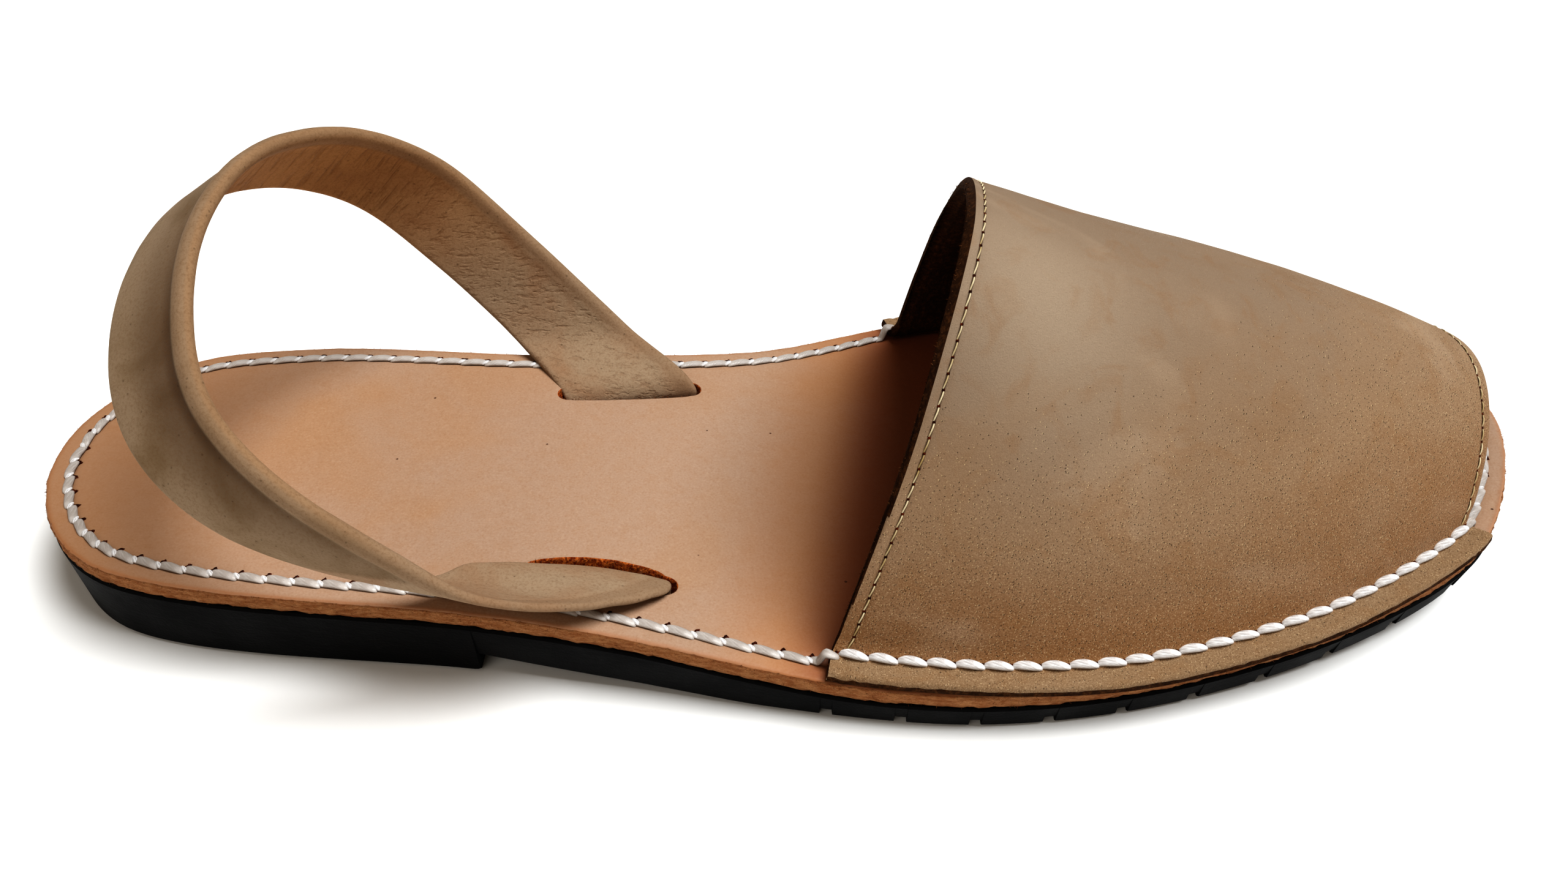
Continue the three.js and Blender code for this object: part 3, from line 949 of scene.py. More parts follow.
def strap_leather(colours):
    # Softer hide for the strap: fine nap outside, warmer and finely wrinkled inside, a rim worn by
    # rubbing. Painted light: the inside is warm as painted shade along the arch and paler at its lit
    # ends, with painted shade in its creases and pores.
    # Its nap is under 0.1 mm, and is drawn at 0.5 mm so that it shows.
    material, tree, shader, place = new_material(
        "soft_strap_leather", Roughness=0.85, IOR=1.45, **{
            "Specular IOR Level": 0.2, "Sheen Weight": 0.1, "Sheen Roughness": 0.5,
            "Sheen Tint": linear("#dcc8b0"),
        },
    )
    face = add_node(
        tree, "MapRange",
        (add_node(tree, "Attribute", output="Fac", attribute_name="face"), -0.15, 0.15), **SMOOTH,
    )
    along = add_node(tree, "Attribute", output="Fac", attribute_name="along")
    across = add_node(tree, "Attribute", output="Fac", attribute_name="across")
    ends = add_node(tree, "Attribute", output="Fac", attribute_name="wrinkled")
    clouds = add_node(
        tree, "TexNoise",
        {"Vector": place, "Scale": size_mm(16), "Detail": 3, "Roughness": 0.55, "Distortion": 0.5},
    )
    nap = add_node(
        tree, "TexNoise", {"Vector": place, "Scale": size_mm(0.5), "Detail": 4, "Roughness": 0.7},
    )
    outer = add_node(
        tree, "Mix",
        {
            0: add_node(tree, "MapRange", (clouds, 0.35, 0.7), **SMOOTH), 6: list(colours.strap),
            7: linear("#7c674d"),
        },
        **COLOUR_MIX,
    )
    # Inner face: orange along the arch, paler and greyer towards both ends, partly the leather's tone
    # and partly painted light: warm shade under the arch, lit ends
    inner = add_node(
        tree, "Mix",
        {
            0: add_node(tree, "Attribute", output="Fac", attribute_name="pale"),
            6: linear("#ae8254"), 7: linear("#9c8770"),
        },
        **COLOUR_MIX,
    )
    inner = add_node(
        tree, "Mix",
        {
            0: add_node(tree, "MapRange", (clouds, 0.4, 0.75, 0, 0.5), **SMOOTH), 6: inner,
            7: linear("#8f6544"),
        },
        **COLOUR_MIX,
    )
    colour = add_node(tree, "Mix", {0: face, 6: inner, 7: outer}, **COLOUR_MIX)
    # Shade in the fold beside the rolled rim, on the outer face of the near side
    wide = add_node(
        tree, "Math", (add_node(tree, "MapRange", (across, -0.45, 0.2), **SMOOTH), 0.7),
        operation="MULTIPLY",
    )
    narrow = add_node(tree, "MapRange", (across, 0.16, 0.27, 0, 0.2), **SMOOTH)
    trough = add_node(
        tree, "Math",
        (
            add_node(tree, "Math", (wide, narrow), operation="ADD"),
            add_node(tree, "MapRange", (across, 0.36, 0.3), **SMOOTH),
        ),
        operation="MULTIPLY",
    )
    trough = add_node(
        tree, "Math",
        (
            trough,
            add_node(
                tree, "Math",
                (face, add_node(tree, "Attribute", output="Fac", attribute_name="near_side")),
                operation="MULTIPLY",
            ),
        ),
        operation="MULTIPLY",
    )
    colour = add_node(tree, "Mix", {0: trough, 6: colour, 7: linear("#3f2611")}, **COLOUR_MIX)
    rolled = add_node(tree, "MapRange", (across, 0.31, 0.37), **SMOOTH)
    rolled_share = add_node(tree, "Math", (rolled, 0.6), operation="MULTIPLY")
    colour = add_node(tree, "Mix", {0: rolled_share, 6: colour, 7: linear("#8c735b")}, **COLOUR_MIX)
    colour = add_node(
        tree, "Mix",
        {
            0: add_node(tree, "MapRange", (nap, 0.42, 0.72, 0, 0.35), **SMOOTH), 6: colour,
            7: linear("#664626"),
        },
        **COLOUR_MIX,
    )
    # Painted shade in the strap's pores
    pit = open_pores(tree, place, 1.0, 0.12, (0.0, 0.0, 0.0))[0]
    pore_shade_share = add_node(tree, "Math", (pit, 0.4), operation="MULTIPLY")
    colour = add_node(tree, "Mix", {0: pore_shade_share, 6: colour, 7: linear("#38240f")}, **COLOUR_MIX)
    slanted = add_node(
        tree, "Math", (along, add_node(tree, "Math", (across, 9.0), operation="MULTIPLY")),
        operation="ADD",
    )
    stacked = add_node(tree, "Math", (across, 2.4), operation="MULTIPLY")
    sheet = add_node(tree, "CombineXYZ", (slanted, stacked))
    lines = add_node(tree, "TexNoise", {"Vector": sheet, "Scale": 0.75, "Distortion": 0.2})
    short = add_node(
        tree, "TexNoise",
        {
            "Vector": add_node(tree, "Mapping", {"Vector": place, "Scale": (0.35, 0.7, 1)}),
            "Scale": size_mm(0.9), "Detail": 3, "Roughness": 0.55, "Distortion": 0.3,
        },
    )
    folds = add_node(
        tree, "MapRange",
        (add_node(tree, "Mix", {0: ends, 6: lines, 7: short}, **COLOUR_MIX), 0.3, 0.52), **SMOOTH,
    )
    off_rim = add_node(tree, "Math", (1.0, rolled), operation="SUBTRACT")
    inside = add_node(
        tree, "Math", (add_node(tree, "Math", (1.0, face), operation="SUBTRACT"), off_rim),
        operation="MULTIPLY",
    )
    slack = add_node(
        tree, "Math",
        (
            1.15,
            add_node(
                tree, "Math",
                (add_node(tree, "Attribute", output="Fac", attribute_name="pale"), ends),
                operation="SUBTRACT",
            ),
        ),
        operation="SUBTRACT",
    )
    creases = add_node(
        tree, "Math", (add_node(tree, "Math", (1.0, folds), operation="SUBTRACT"), slack),
        operation="MULTIPLY",
    )
    shown = add_node(
        tree, "Math", (inside, add_node(tree, "MapRange", (ends, 0.0, 1.0, 0.27, 0.14), **SMOOTH)),
        operation="MULTIPLY",
    )
    # Painted shade in the creases of the inner face; the creases are bumped as well
    colour = add_node(
        tree, "Mix",
        {
            0: add_node(tree, "Math", (creases, shown), operation="MULTIPLY"), 6: colour,
            7: linear("#6e4422"),
        },
        **COLOUR_MIX,
    )
    tree.links.new(colour, shader.inputs["Base Color"])
    soft = add_node(tree, "Bump", {"Height": nap, "Distance": 0.1 * MM})
    height = add_node(
        tree, "Math", (add_node(tree, "Math", (1.0, creases), operation="SUBTRACT"), shown),
        operation="MULTIPLY",
    )
    tree.links.new(
        add_node(tree, "Bump", {"Height": height, "Distance": 0.7 * MM, "Normal": soft}),
        shader.inputs["Normal"],
    )
    return material


def waxed_thread(colours):
    # Braided polyester thread pulled through wax: white, a little glossy, with fine filaments.
    # The filaments are about 0.03 mm thick, and bundles of them are drawn at about 0.3 mm.
    material, tree, shader, _ = new_material(
        "waxed_polyester_thread", Roughness=0.38, IOR=1.5, **{"Specular IOR Level": 0.5},
    )
    around = add_node(tree, "Attribute", output="Fac", attribute_name="around")
    along = add_node(tree, "Attribute", output="Fac", attribute_name="along")
    turn = add_node(tree, "Math", (around, 3.0), operation="MULTIPLY")
    reach = add_node(tree, "Math", (along, 0.35), operation="MULTIPLY")
    line = add_node(tree, "CombineXYZ", (turn, reach))
    filaments = add_node(tree, "TexNoise", {
        "Vector": line, "Scale": 1.6, "Detail": 3.0, "Roughness": 0.6,
    })
    colour = add_node(
        tree, "Mix",
        {
            0: add_node(tree, "MapRange", (filaments, 0.42, 0.6), **SMOOTH),
            6: list(colours.thread), 7: linear("#c4c0bf"),
        },
        **COLOUR_MIX,
    )
    colour = add_node(
        tree, "Mix",
        {
            0: add_node(tree, "Attribute", output="Fac", attribute_name="flat"), 6: colour,
            7: linear("#a3988e"),
        },
        **COLOUR_MIX,
    )
    tree.links.new(colour, shader.inputs["Base Color"])
    tree.links.new(
        add_node(tree, "Bump", {"Height": filaments, "Distance": 0.12 * MM}),
        shader.inputs["Normal"],
    )
    return material


def hem_thread(colours):
    # Fine three-ply sewing thread in cream, matt, darker in soft patches
    material, tree, shader, place = new_material(
        "cream_sewing_thread", Roughness=0.6, IOR=1.5, **{"Specular IOR Level": 0.35},
    )
    patches = add_node(tree, "TexNoise", {"Vector": place, "Scale": size_mm(6), "Detail": 3})
    dark_patches = add_node(tree, "MapRange", (patches, 0.35, 0.7), **SMOOTH)
    colour = add_node(
        tree, "Mix", {0: dark_patches, 6: list(colours.hem_thread), 7: linear("#a38c5e")}, **COLOUR_MIX,
    )
    tree.links.new(colour, shader.inputs["Base Color"])
    tree.links.new(
        add_node(
            tree, "Bump",
            {
                "Height": add_node(
                    tree, "TexNoise", {"Vector": place, "Scale": size_mm(0.3), "Detail": 2},
                ),
                "Distance": 0.05 * MM,
            },
        ),
        shader.inputs["Normal"],
    )
    return material


def awl_hole(colours):
    # Torn fibres in the mouth of a sewing hole, dry: dark red-brown, partly their own colour and partly
    # painted shade in the hole
    material, tree, shader, place = new_material(
        "hole_shade_and_torn_fibres", Roughness=0.95, IOR=1.45, **{"Specular IOR Level": 0.1},
    )
    fibres = add_node(
        tree, "TexNoise", {"Vector": place, "Scale": size_mm(0.5), "Detail": 3, "Roughness": 0.7},
    )
    colour = add_node(
        tree, "Mix",
        {
            0: add_node(tree, "MapRange", (fibres, 0.4, 0.75), **SMOOTH), 6: list(colours.hole),
            7: linear("#6d2f16"),
        },
        **COLOUR_MIX,
    )
    tree.links.new(colour, shader.inputs["Base Color"])
    return material


def studio_paper(colours):
    # Seamless white background paper: matt and even
    material, tree, shader, place = new_material(
        "background_paper", Roughness=0.95, IOR=1.45, **{"Specular IOR Level": 0.1},
    )
    fine = add_node(tree, "TexNoise", {"Vector": place, "Scale": size_mm(60), "Detail": 2})
    colour = add_node(
        tree, "Mix", {0: fine, 6: list(colours.paper), 7: linear("#f4f4f3")}, **COLOUR_MIX,
    )
    tree.links.new(colour, shader.inputs["Base Color"])
    return material


# Pieces
def seat(piece, slot, *nodes):
    """Ties a piece to the part's one body and hides the solids that it stands for. The slot argument is
    not used.
    """
    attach(piece, "root")
    for node in nodes:
        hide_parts(node)


def make_outsole(sizes, colours):
    """Rubber sole, lofted along its length, with rounded edges, arch, heel breast and grooves."""
    round_off = sizes.sole_edge_radius / MM
    insets = {
        "top_in": round_off / 2, "top": 0.0, "foot": WALL_TAPER, "foot_in": WALL_TAPER + round_off,
        "margin_out": HEEL_GROOVE_MARGIN - HEEL_GROOVE_SLOPE, "margin": HEEL_GROOVE_MARGIN,
    }
    rings = {}
    for name, inset in insets.items():
        ring = rim_ring(inset)
        low, high = int(np.argmin(ring[:, 0])), int(np.argmax(ring[:, 0]))
        outer = np.arange(low, high + 1) if low < high else np.r_[low:RIM_COUNT, 0:high + 1]
        inner = np.r_[high:RIM_COUNT, 0:low + 1] if low < high else np.arange(high, low + 1)
        rings[name] = (ring, outer, inner[::-1], ring[low, 0], ring[high, 0])

    def edges_at(name, x):
        ring, outer, inner, low, high = rings[name]
        x = np.clip(x, low, high)
        sides = []
        for chain in (outer, inner):
            line = ring[chain]
            line = line[np.concatenate([[True], np.diff(np.maximum.accumulate(line[:, 0])) > 1e-9])]
            sides.append(np.interp(x, line[:, 0], line[:, 1]))
        return x, sides[0], sides[1]

    half = GROOVE_WIDTH / 2
    fore = np.arange(BALL_CONTACT + GROOVE_PITCH, TREAD_END, GROOVE_PITCH)
    heel = np.arange(HEEL_BREAST - GROOVE_PITCH, -LENGTH / 2, -GROOVE_PITCH)
    stations = [np.arange(-LENGTH / 2, LENGTH / 2, 2.0)]
    for name in insets:
        low, high = rings[name][3:]
        ease = np.linspace(0, 1, 16) ** 2 * 8
        stations += [low + ease, high - ease]
    groove_steps = np.array([-half - 0.15, -half, -half + 0.12, half - 0.12, half, half + 0.15])
    for middle in (*fore, *heel):
        stations.append(middle + groove_steps)
    stations.append(HEEL_BREAST + np.array([-1.2, -0.5, -0.15, 0.0, 0.02]))
    stations = np.unique(np.round(np.concatenate(stations), 3))
    stations = stations[(stations >= rings["top"][3]) & (stations <= rings["top"][4])]

    def under(x, full):
        """Height of the underside at x. Grooves in the heel stop short of its edge."""
        z = float(rubber_under(x))
        grooves = fore if x > HEEL_BREAST else (heel if full else [])
        if any(abs(x - middle) < half - 0.05 for middle in grooves):
            z += GROOVE_DEPTH
        if HEEL_BREAST - BREAST_ROUNDING < x <= HEEL_BREAST:
            z += 0.5 * (x - HEEL_BREAST + BREAST_ROUNDING) ** 2 / BREAST_ROUNDING
        return z

    def both_sides(x, rows):
        """The points of the named rings at x, each at its height, on the outer and inner side."""
        sides = [[], []]
        for name, z in rows:
            at, *ys = edges_at(name, x)
            for side in (0, 1):
                sides[side].append((at, ys[side], z))
        return sides

    def between(sides):
        """Three points across the sole, between the last points of both sides."""
        ends = np.array(sides[0][-1]), np.array(sides[1][-1])
        return [tuple(mix(*ends, share)) for share in (0.25, 0.5, 0.75)]

    shape = Shape()
    loops = []
    for x in stations:
        top = float(rubber_top(x))
        base, deep = under(x, False), under(x, True)
        sides = both_sides(x, [
            ("foot_in", base), ("foot", base + round_off), ("top", top - round_off / 2),
            ("top_in", top),
        ])
        floor = both_sides(x, [("margin_out", deep if x > HEEL_BREAST else base), ("margin", deep)])
        loops.append(shape.add([
            *sides[0], *between(sides), *sides[1][::-1],
            *floor[1], *between(floor)[::-1], *floor[0][::-1],
        ]))
    for a, b in zip(loops, loops[1:]):
        shape.strip(a, b)
    shape.face(loops[0])
    shape.face(loops[-1][::-1])
    piece = shape.build("sole_rubber", [moulded_rubber(colours)], sharp=38, weld=2e-3)
    seat(piece, "rubber_sole", "outsole")


def plan_grid(step, inset):
    """Points in rows over the footbed, at least inset inside the rim and clear of the slots."""
    xs = np.arange(-LENGTH / 2, LENGTH / 2, step)
    ys = np.arange(-WIDTH / 2, WIDTH / 2, step)
    grid = np.stack(np.meshgrid(xs, ys), -1).reshape(-1, 2)
    grid = grid[rim_distance(grid)[0] > inset]
    for side in (-1, 1):
        grid = grid[~inside_loop(grid, slot_loop(side, SLOT_SURROUND))]
    return grid


def make_insole(sizes, colours):
    """Leather footbed with rough cut edges, two slots and the channel that the thread pulls in."""
    seam = sizes.seam_inset / MM
    shape = Shape("inset", "depth")
    grain_side, cut_side, torn_side = 0, 1, 2
    mouths = {side: slot_loop(side, 0.5) for side in (-1, 1)}
    free = [rim_ring(inset) for inset in (1.4, 2.1, 2.8, 3.4, 3.8, 4.1, 4.4, 4.8, 5.4, 6.2)]
    free.append(rim_ring(7.4)[::2])
    for side in (-1, 1):
        for grow in (0.9, 1.5):
            free.append(slot_loop(side, grow))
    free = np.vstack([*free, plan_grid(2.6, 8.6)])
    for side in (-1, 1):
        near = np.min(np.linalg.norm(free[:, None] - mouths[side][None], axis=2), 1)
        free = free[(near > 0.3) & ~inside_loop(free, mouths[side])]
    coords, faces, rings = plan_sheet([rim_ring(0.7), mouths[-1], mouths[1]], free)
    inset = rim_distance(coords)[0]
    z = footbed_top(coords[:, 0])
    z -= sizes.seam_pull / MM * bell(inset - seam, 0.8)
    for side in (-1, 1):
        gap = np.min(np.linalg.norm(coords[:, None] - slot_loop(side, 0.0)[None], axis=2), 1)
        z -= 0.3 * np.exp(-gap / 0.8)
    z += 0.14 * grain(lifted(coords, 0), 21) + 0.03 * grain(lifted(coords, 0), 5, 2)
    top = shape.add(lifted(coords, z), inset=inset)
    for face in faces:
        shape.face(top[face])

    def wall(first, line, inwards, rows, kind, grain_rows):
        """Hangs rows of points under a ring of the top sheet, and returns the last row.

        Each row is moved along inwards from the line and lies at a depth. The first rows still
        belong to the grain side, and the others are of the given kind.
        """
        last = first
        for k, (inward, depth) in enumerate(rows):
            loop = line + inwards * inward
            rough = grain(lifted(loop, depth * 2.2), 0.9, 4) + grain(lifted(loop, depth), 2.4, 5)
            rough = np.clip(rough, -1, 1) * sizes.cut_roughness / MM * min(1.0, depth / 0.5)
            loop = line + inwards * (inward + 0.08 + rough)[:, None]
            row = shape.add(lifted(loop, footbed_top(loop[:, 0]) - depth), inset=0.0, depth=depth)
            shape.strip(last, row, kind=kind if k >= grain_rows else grain_side)
            last = row
        return last

    rim_rows = [
        (0.36, 0.07), (0.12, 0.25), (0.0, 0.6), (0.0, 1.1), (0.0, 1.7), (0.0, 2.3), (0.05, 2.8),
        (0.2, 3.2), (0.5, INSOLE_THICKNESS),
    ]
    slot_rows = [
        (-0.4, 0.12), (-0.22, 0.4), (-0.05, 1.0), (0.1, 1.7), (0.25, 2.5), (0.3, INSOLE_THICKNESS),
    ]
    bottoms = [wall(top[rings[0]], RIM, RIM_INWARD, rim_rows, cut_side, 2)]
    for side, ring in ((-1, rings[1]), (1, rings[2])):
        base = slot_loop(side, 0.0)
        inwards = -unit(mouths[side] - base)
        bottoms.append(wall(top[ring], base, inwards, slot_rows, torn_side, 1))
    points = np.array(shape.points)
    coords, faces, rings = plan_sheet([points[ring][:, :2] for ring in bottoms], plan_grid(7.0, 5.0))
    under = lifted(coords, footbed_top(coords[:, 0]) - INSOLE_THICKNESS)
    low = shape.add(under, inset=9.0, depth=3.0)
    for face in faces:
        shape.face(low[face], kind=cut_side)
    skins = [tanned_leather(colours), cut_edge_leather(colours), slot_wall_leather()]
    piece = shape.build("footbed_sheet", skins, weld=1e-3)
    seat(piece, "footbed_leather", "insole")


def vamp_form(u):
    """The values of VAMP_SECTIONS at a share u from throat to toe opening."""
    place = u * (len(VAMP_SECTIONS) - 1)
    weights = []
    for i in range(len(VAMP_SECTIONS)):
        weight = 1.0
        for j in range(len(VAMP_SECTIONS)):
            if i != j:
                weight *= (place - j) / (i - j)
        weights.append(weight)
    return np.array(weights) @ VAMP_SECTIONS


def vamp_section(u, arch_steps=100, fillet_steps=8, flange_steps=9):
    """Outer surface of the vamp at a share u, from the outer flange over the ridge to the inner."""
    height, lean, ridge, roundness, outer, inner = vamp_form(u)
    span = math.hypot(1, roundness) - roundness

    def side(sign):
        x = mix(*VAMP_SEAMS[sign], u)

        def flange(inset):
            spot = rim_at(x, sign, inset)
            return np.array([*spot, footbed_top(spot[0]) + CLEARANCE + VAMP_THICKNESS])
        foot = flange(SEAM_ALLOWANCE)
        foot[2] -= VAMP_THICKNESS
        reach = SEAM_ALLOWANCE - CREASE_REACH
        insets = np.concatenate([[0, 0.12, 0.35, 0.7], np.linspace(1.1, reach, flange_steps - 4)])
        return [flange(i) for i in insets], flange(SEAM_ALLOWANCE), foot

    near_flange, near_corner, near_foot = side(-1)
    far_flange, far_corner, far_foot = side(1)

    def arch(t):
        drop = (math.hypot(t, roundness) - roundness) / span
        k = max(1 - drop, 0) ** (1 / (outer if t < 0 else inner))
        across = ridge * (1 + t) if t < 0 else mix(ridge, 1, t)
        return mix(near_foot, far_foot, across) + np.array([lean * k, 0, height * k])

    def start(fullness):
        rise = (VAMP_THICKNESS + CREASE_RADIUS) / height
        reach = roundness + (1 - rise ** fullness) * span
        return math.asin(min(math.sqrt(reach ** 2 - roundness ** 2), 1)) / (math.pi / 2)

    turns = np.linspace(-start(outer), start(inner), arch_steps + 1)
    bow = [arch(math.sin(a * math.pi / 2)) for a in turns]

    def fillet(bend, corner, end):
        s = np.linspace(0, 1, fillet_steps + 1)[1:-1, None]
        return list((1 - s) ** 2 * bend + 2 * s * (1 - s) * corner + s ** 2 * end)

    near = fillet(near_flange[-1], near_corner, bow[0])
    far = fillet(far_flange[-1], far_corner, bow[-1])[::-1]
    return np.array([*near_flange, *near, *bow, *far, *far_flange[::-1]])


def flange_wrap(x):
    """How far the outer flange is pulled over the footbed's edge at x."""
    return FLANGE_WRAP * smooth((x - 22) / 42) * (1 - 0.6 * smooth((x - 92) / 26))


def vamp_surface():
    """Grid of the vamp's outer surface with its normals and its distances from the free edges."""
    fine = np.array([
        0, 0.0008, 0.002, 0.004, 0.007, 0.011, 0.015, 0.019, 0.023, 0.0265, 0.030, 0.0335, 0.037,
        0.042, 0.05,
    ])
    us = np.concatenate([fine, np.linspace(0.06, 0.94, 84), 1 - fine[::-1]])
    grid = np.array([vamp_section(u) for u in us])
    flare = THROAT_FLARE * (1 - smooth(arc_lengths(grid[0]) / 48))
    back = unit(grid[0] - grid[6])
    grid = grid + back[None] * (flare[None] * np.exp(-(grid_lengths(grid, 0) / 9) ** 2))[..., None]
    wrap = flange_wrap(grid[..., 0]) * (1 - smooth((grid_lengths(grid, 1) - SEAM_ALLOWANCE) / 9))
    grid[..., 1] -= wrap
    grid[..., 2] -= FLANGE_DROP * wrap
    along = np.gradient(grid, axis=0)
    across = np.gradient(grid, axis=1)
    normals = unit(np.cross(along, across))
    if normals[len(us) // 2, grid.shape[1] // 2, 2] < 0:
        normals = -normals
    from_throat = grid_lengths(grid, 0)
    from_toe = from_throat[-1] - from_throat
    from_near = grid_lengths(grid, 1)
    from_rim = np.minimum(from_near, from_near[:, -1:] - from_near)
    return grid, normals, from_throat, from_toe, from_rim


def rounding(distance, radius):
    """How far a surface drops next to an edge that is rounded off."""
    d = np.clip(radius - distance, 0, radius)
    return radius - np.sqrt(np.maximum(radius ** 2 - d ** 2, 0))


def dressed_vamp(sizes):
    """The vamp's outer surface with its hems, its sewn lines and its soft creases."""
    grid, normals, throat, toe, rim = vamp_surface()
    hem = sizes.hem_width / MM
    relief = -0.22 * bell(throat - hem, 0.55) - 0.2 * bell(toe - hem, 0.55)
    relief += 0.10 * bell(throat - hem / 2, 1.2) + 0.08 * bell(toe - hem / 2, 1.2)
    flat = grid.reshape(-1, 3)
    wall = smooth((rim - SEAM_ALLOWANCE) / 8)
    soft = (0.45 * grain(flat, 34, 6) + 0.1 * grain(flat, 9, 7)).reshape(rim.shape)
    relief += soft * wall * smooth(throat / 10) * smooth(toe / 10)
    return grid + normals * relief[..., None], normals, throat, toe, rim


def make_vamp(sizes, colours):
    """Closed instep piece: one thick sheet, sewn down along both flanges, open at throat and toe."""
    grid, normals, throat, toe, rim = dressed_vamp(sizes)
    edge = np.minimum(np.minimum(throat, toe), rim)
    slant = THROAT_BEVEL * (0.3 + 0.7 * smooth((rim - 4) / 42))
    bevel = 0.72 * VAMP_THICKNESS * np.clip(1 - throat / slant, 0, 1) ** 0.8
    lip = np.maximum(rounding(toe, 0.45), bevel)
    roll = rounding(rim, 0.8)
    outer = grid - normals * np.maximum(lip, roll)[..., None]
    skived = (1 - smooth(throat / 5)) * (1 - smooth((rim - 34) / 34)) * smooth((rim - 5) / 8)
    skive = THROAT_SKIVE * skived
    inner = grid - normals * (VAMP_THICKNESS - skive - rounding(edge, 0.3))[..., None]
    layers = 5
    nap_side, flesh_back = 0, 1
    count_u, count_v = rim.shape
    shape = Shape("throat", "toe", "rim", "low", "rubbed")
    height = np.clip((grid[..., 2] - footbed_top(grid[..., 0])) / 50, 0, 1)
    # Painted sheen: a paler patch on the vamp's upper face, fading away from its place
    rubbed = bell(grid[..., 0] - SHEEN_PLACE[0], 17) * bell(grid[..., 1] - SHEEN_PLACE[1], 13)
    index = {}

    def point(i, j, k):
        if (i, j, k) not in index:
            share = k / layers
            p = mix(outer[i, j], inner[i, j], share)
            if 0 < k < layers:
                wobble = noise.noise(Vector(p) / 0.9) * sizes.cut_roughness / MM
                ahead = grid[min(i + 1, count_u - 1), j] - grid[max(i - 1, 0), j]
                aside = grid[i, min(j + 1, count_v - 1)] - grid[i, max(j - 1, 0)]
                if i in (0, count_u - 1):
                    p = p + unit(ahead) * (wobble + 0.05) * (1 if i == 0 else -1)
                elif j in (0, count_v - 1):
                    p = p + unit(aside) * (wobble + 0.05) * (1 if j == 0 else -1)
            index[i, j, k] = shape.add(
                [p], throat=throat[i, j], toe=toe[i, j], rim=rim[i, j], low=height[i, j],
                rubbed=rubbed[i, j],
            )[0]
        return index[i, j, k]

    def patch(corner, first, second, kind):
        """One face from a corner (i, j, layer), with sides along two steps of the grid."""
        a, b, c = np.array(corner), np.array(first), np.array(second)
        shape.face([point(*at) for at in (a, a + b, a + b + c, a + c)], kind)

    for i in range(count_u - 1):
        for j in range(count_v - 1):
            raw = throat[i, j] < slant[i, j] * 0.85
            patch((i, j, 0), (1, 0, 0), (0, 1, 0), flesh_back if raw else nap_side)
            patch((i, j, layers), (1, 0, 0), (0, 1, 0), flesh_back)
    for k in range(layers):
        for j in range(count_v - 1):
            for i in (0, count_u - 1):
                patch((i, j, k), (0, 1, 0), (0, 0, 1), flesh_back)
        for i in range(count_u - 1):
            for j in (0, count_v - 1):
                patch((i, j, k), (1, 0, 0), (0, 0, 1), nap_side if k < 1 else flesh_back)
    piece = shape.build("vamp_sheet", [brushed_nubuck(colours), flesh_side(colours)], sharp=50)
    seat(piece, "vamp_nubuck", "vamp")


def strap_edges():
    """The curves that the strap's rear and front edge follow, with the tails in their slots."""
    seat_height = float(footbed_top(SLOT_MIDDLE))

    def tail(side, below):
        middle = np.array([SLOT_MIDDLE, HEEL_LINE + SLOT_OFFSET[side], seat_height - below])
        turn = SLOT_TURN[side]
        return middle, np.array([math.cos(turn), math.sin(turn), 0]) * SLOT_CHORD

    path = [tail(-1, STRAP_TAIL), tail(-1, STRAP_TAIL / 2), tail(-1, -STRAP_MOUTH)]
    for back, side, up, chord, turn, tilt in STRAP_STATIONS:
        turn, tilt = math.radians(turn), math.radians(tilt)
        middle = np.array([
            SLOT_MIDDLE - back * STRAP_REACH, HEEL_LINE + side * STRAP_SPREAD,
            seat_height + up * STRAP_RISE,
        ])
        way = np.array([
            math.cos(turn) * math.cos(tilt), math.sin(turn) * math.cos(tilt), math.sin(tilt),
        ])
        path.append((middle, way * chord * STRAP_WIDTH))
    path += [tail(1, -STRAP_MOUTH), tail(1, STRAP_TAIL / 2), tail(1, STRAP_TAIL)]
    rear = catmull_rom([m - c / 2 for m, c in path], False, STRAP_STEPS)
    front = catmull_rom([m + c / 2 for m, c in path], False, STRAP_STEPS)
    step = np.arange(len(rear)) / STRAP_STEPS
    for edge, settle in ((rear, STRAP_SETTLE_REAR), (front, STRAP_SETTLE_FRONT)):
        at, y, z = np.array(settle).T
        edge[:, 1] += np.interp(step, at, y)
        edge[:, 2] += np.interp(step, at, z)
    smoothing = np.array([1, 3, 4, 3, 1]) / 12
    for edge in (rear, front):
        for axis in range(3):
            edge[2:-2, axis] = np.convolve(edge[:, axis], smoothing, "valid")
    return rear, front


def quarter_round(distance, radius):
    """Share of the full thickness that is left at a distance from an edge of that radius."""
    return np.sqrt(np.clip(1 - np.clip(1 - distance / radius, 0, 1) ** 2, 0, 1))


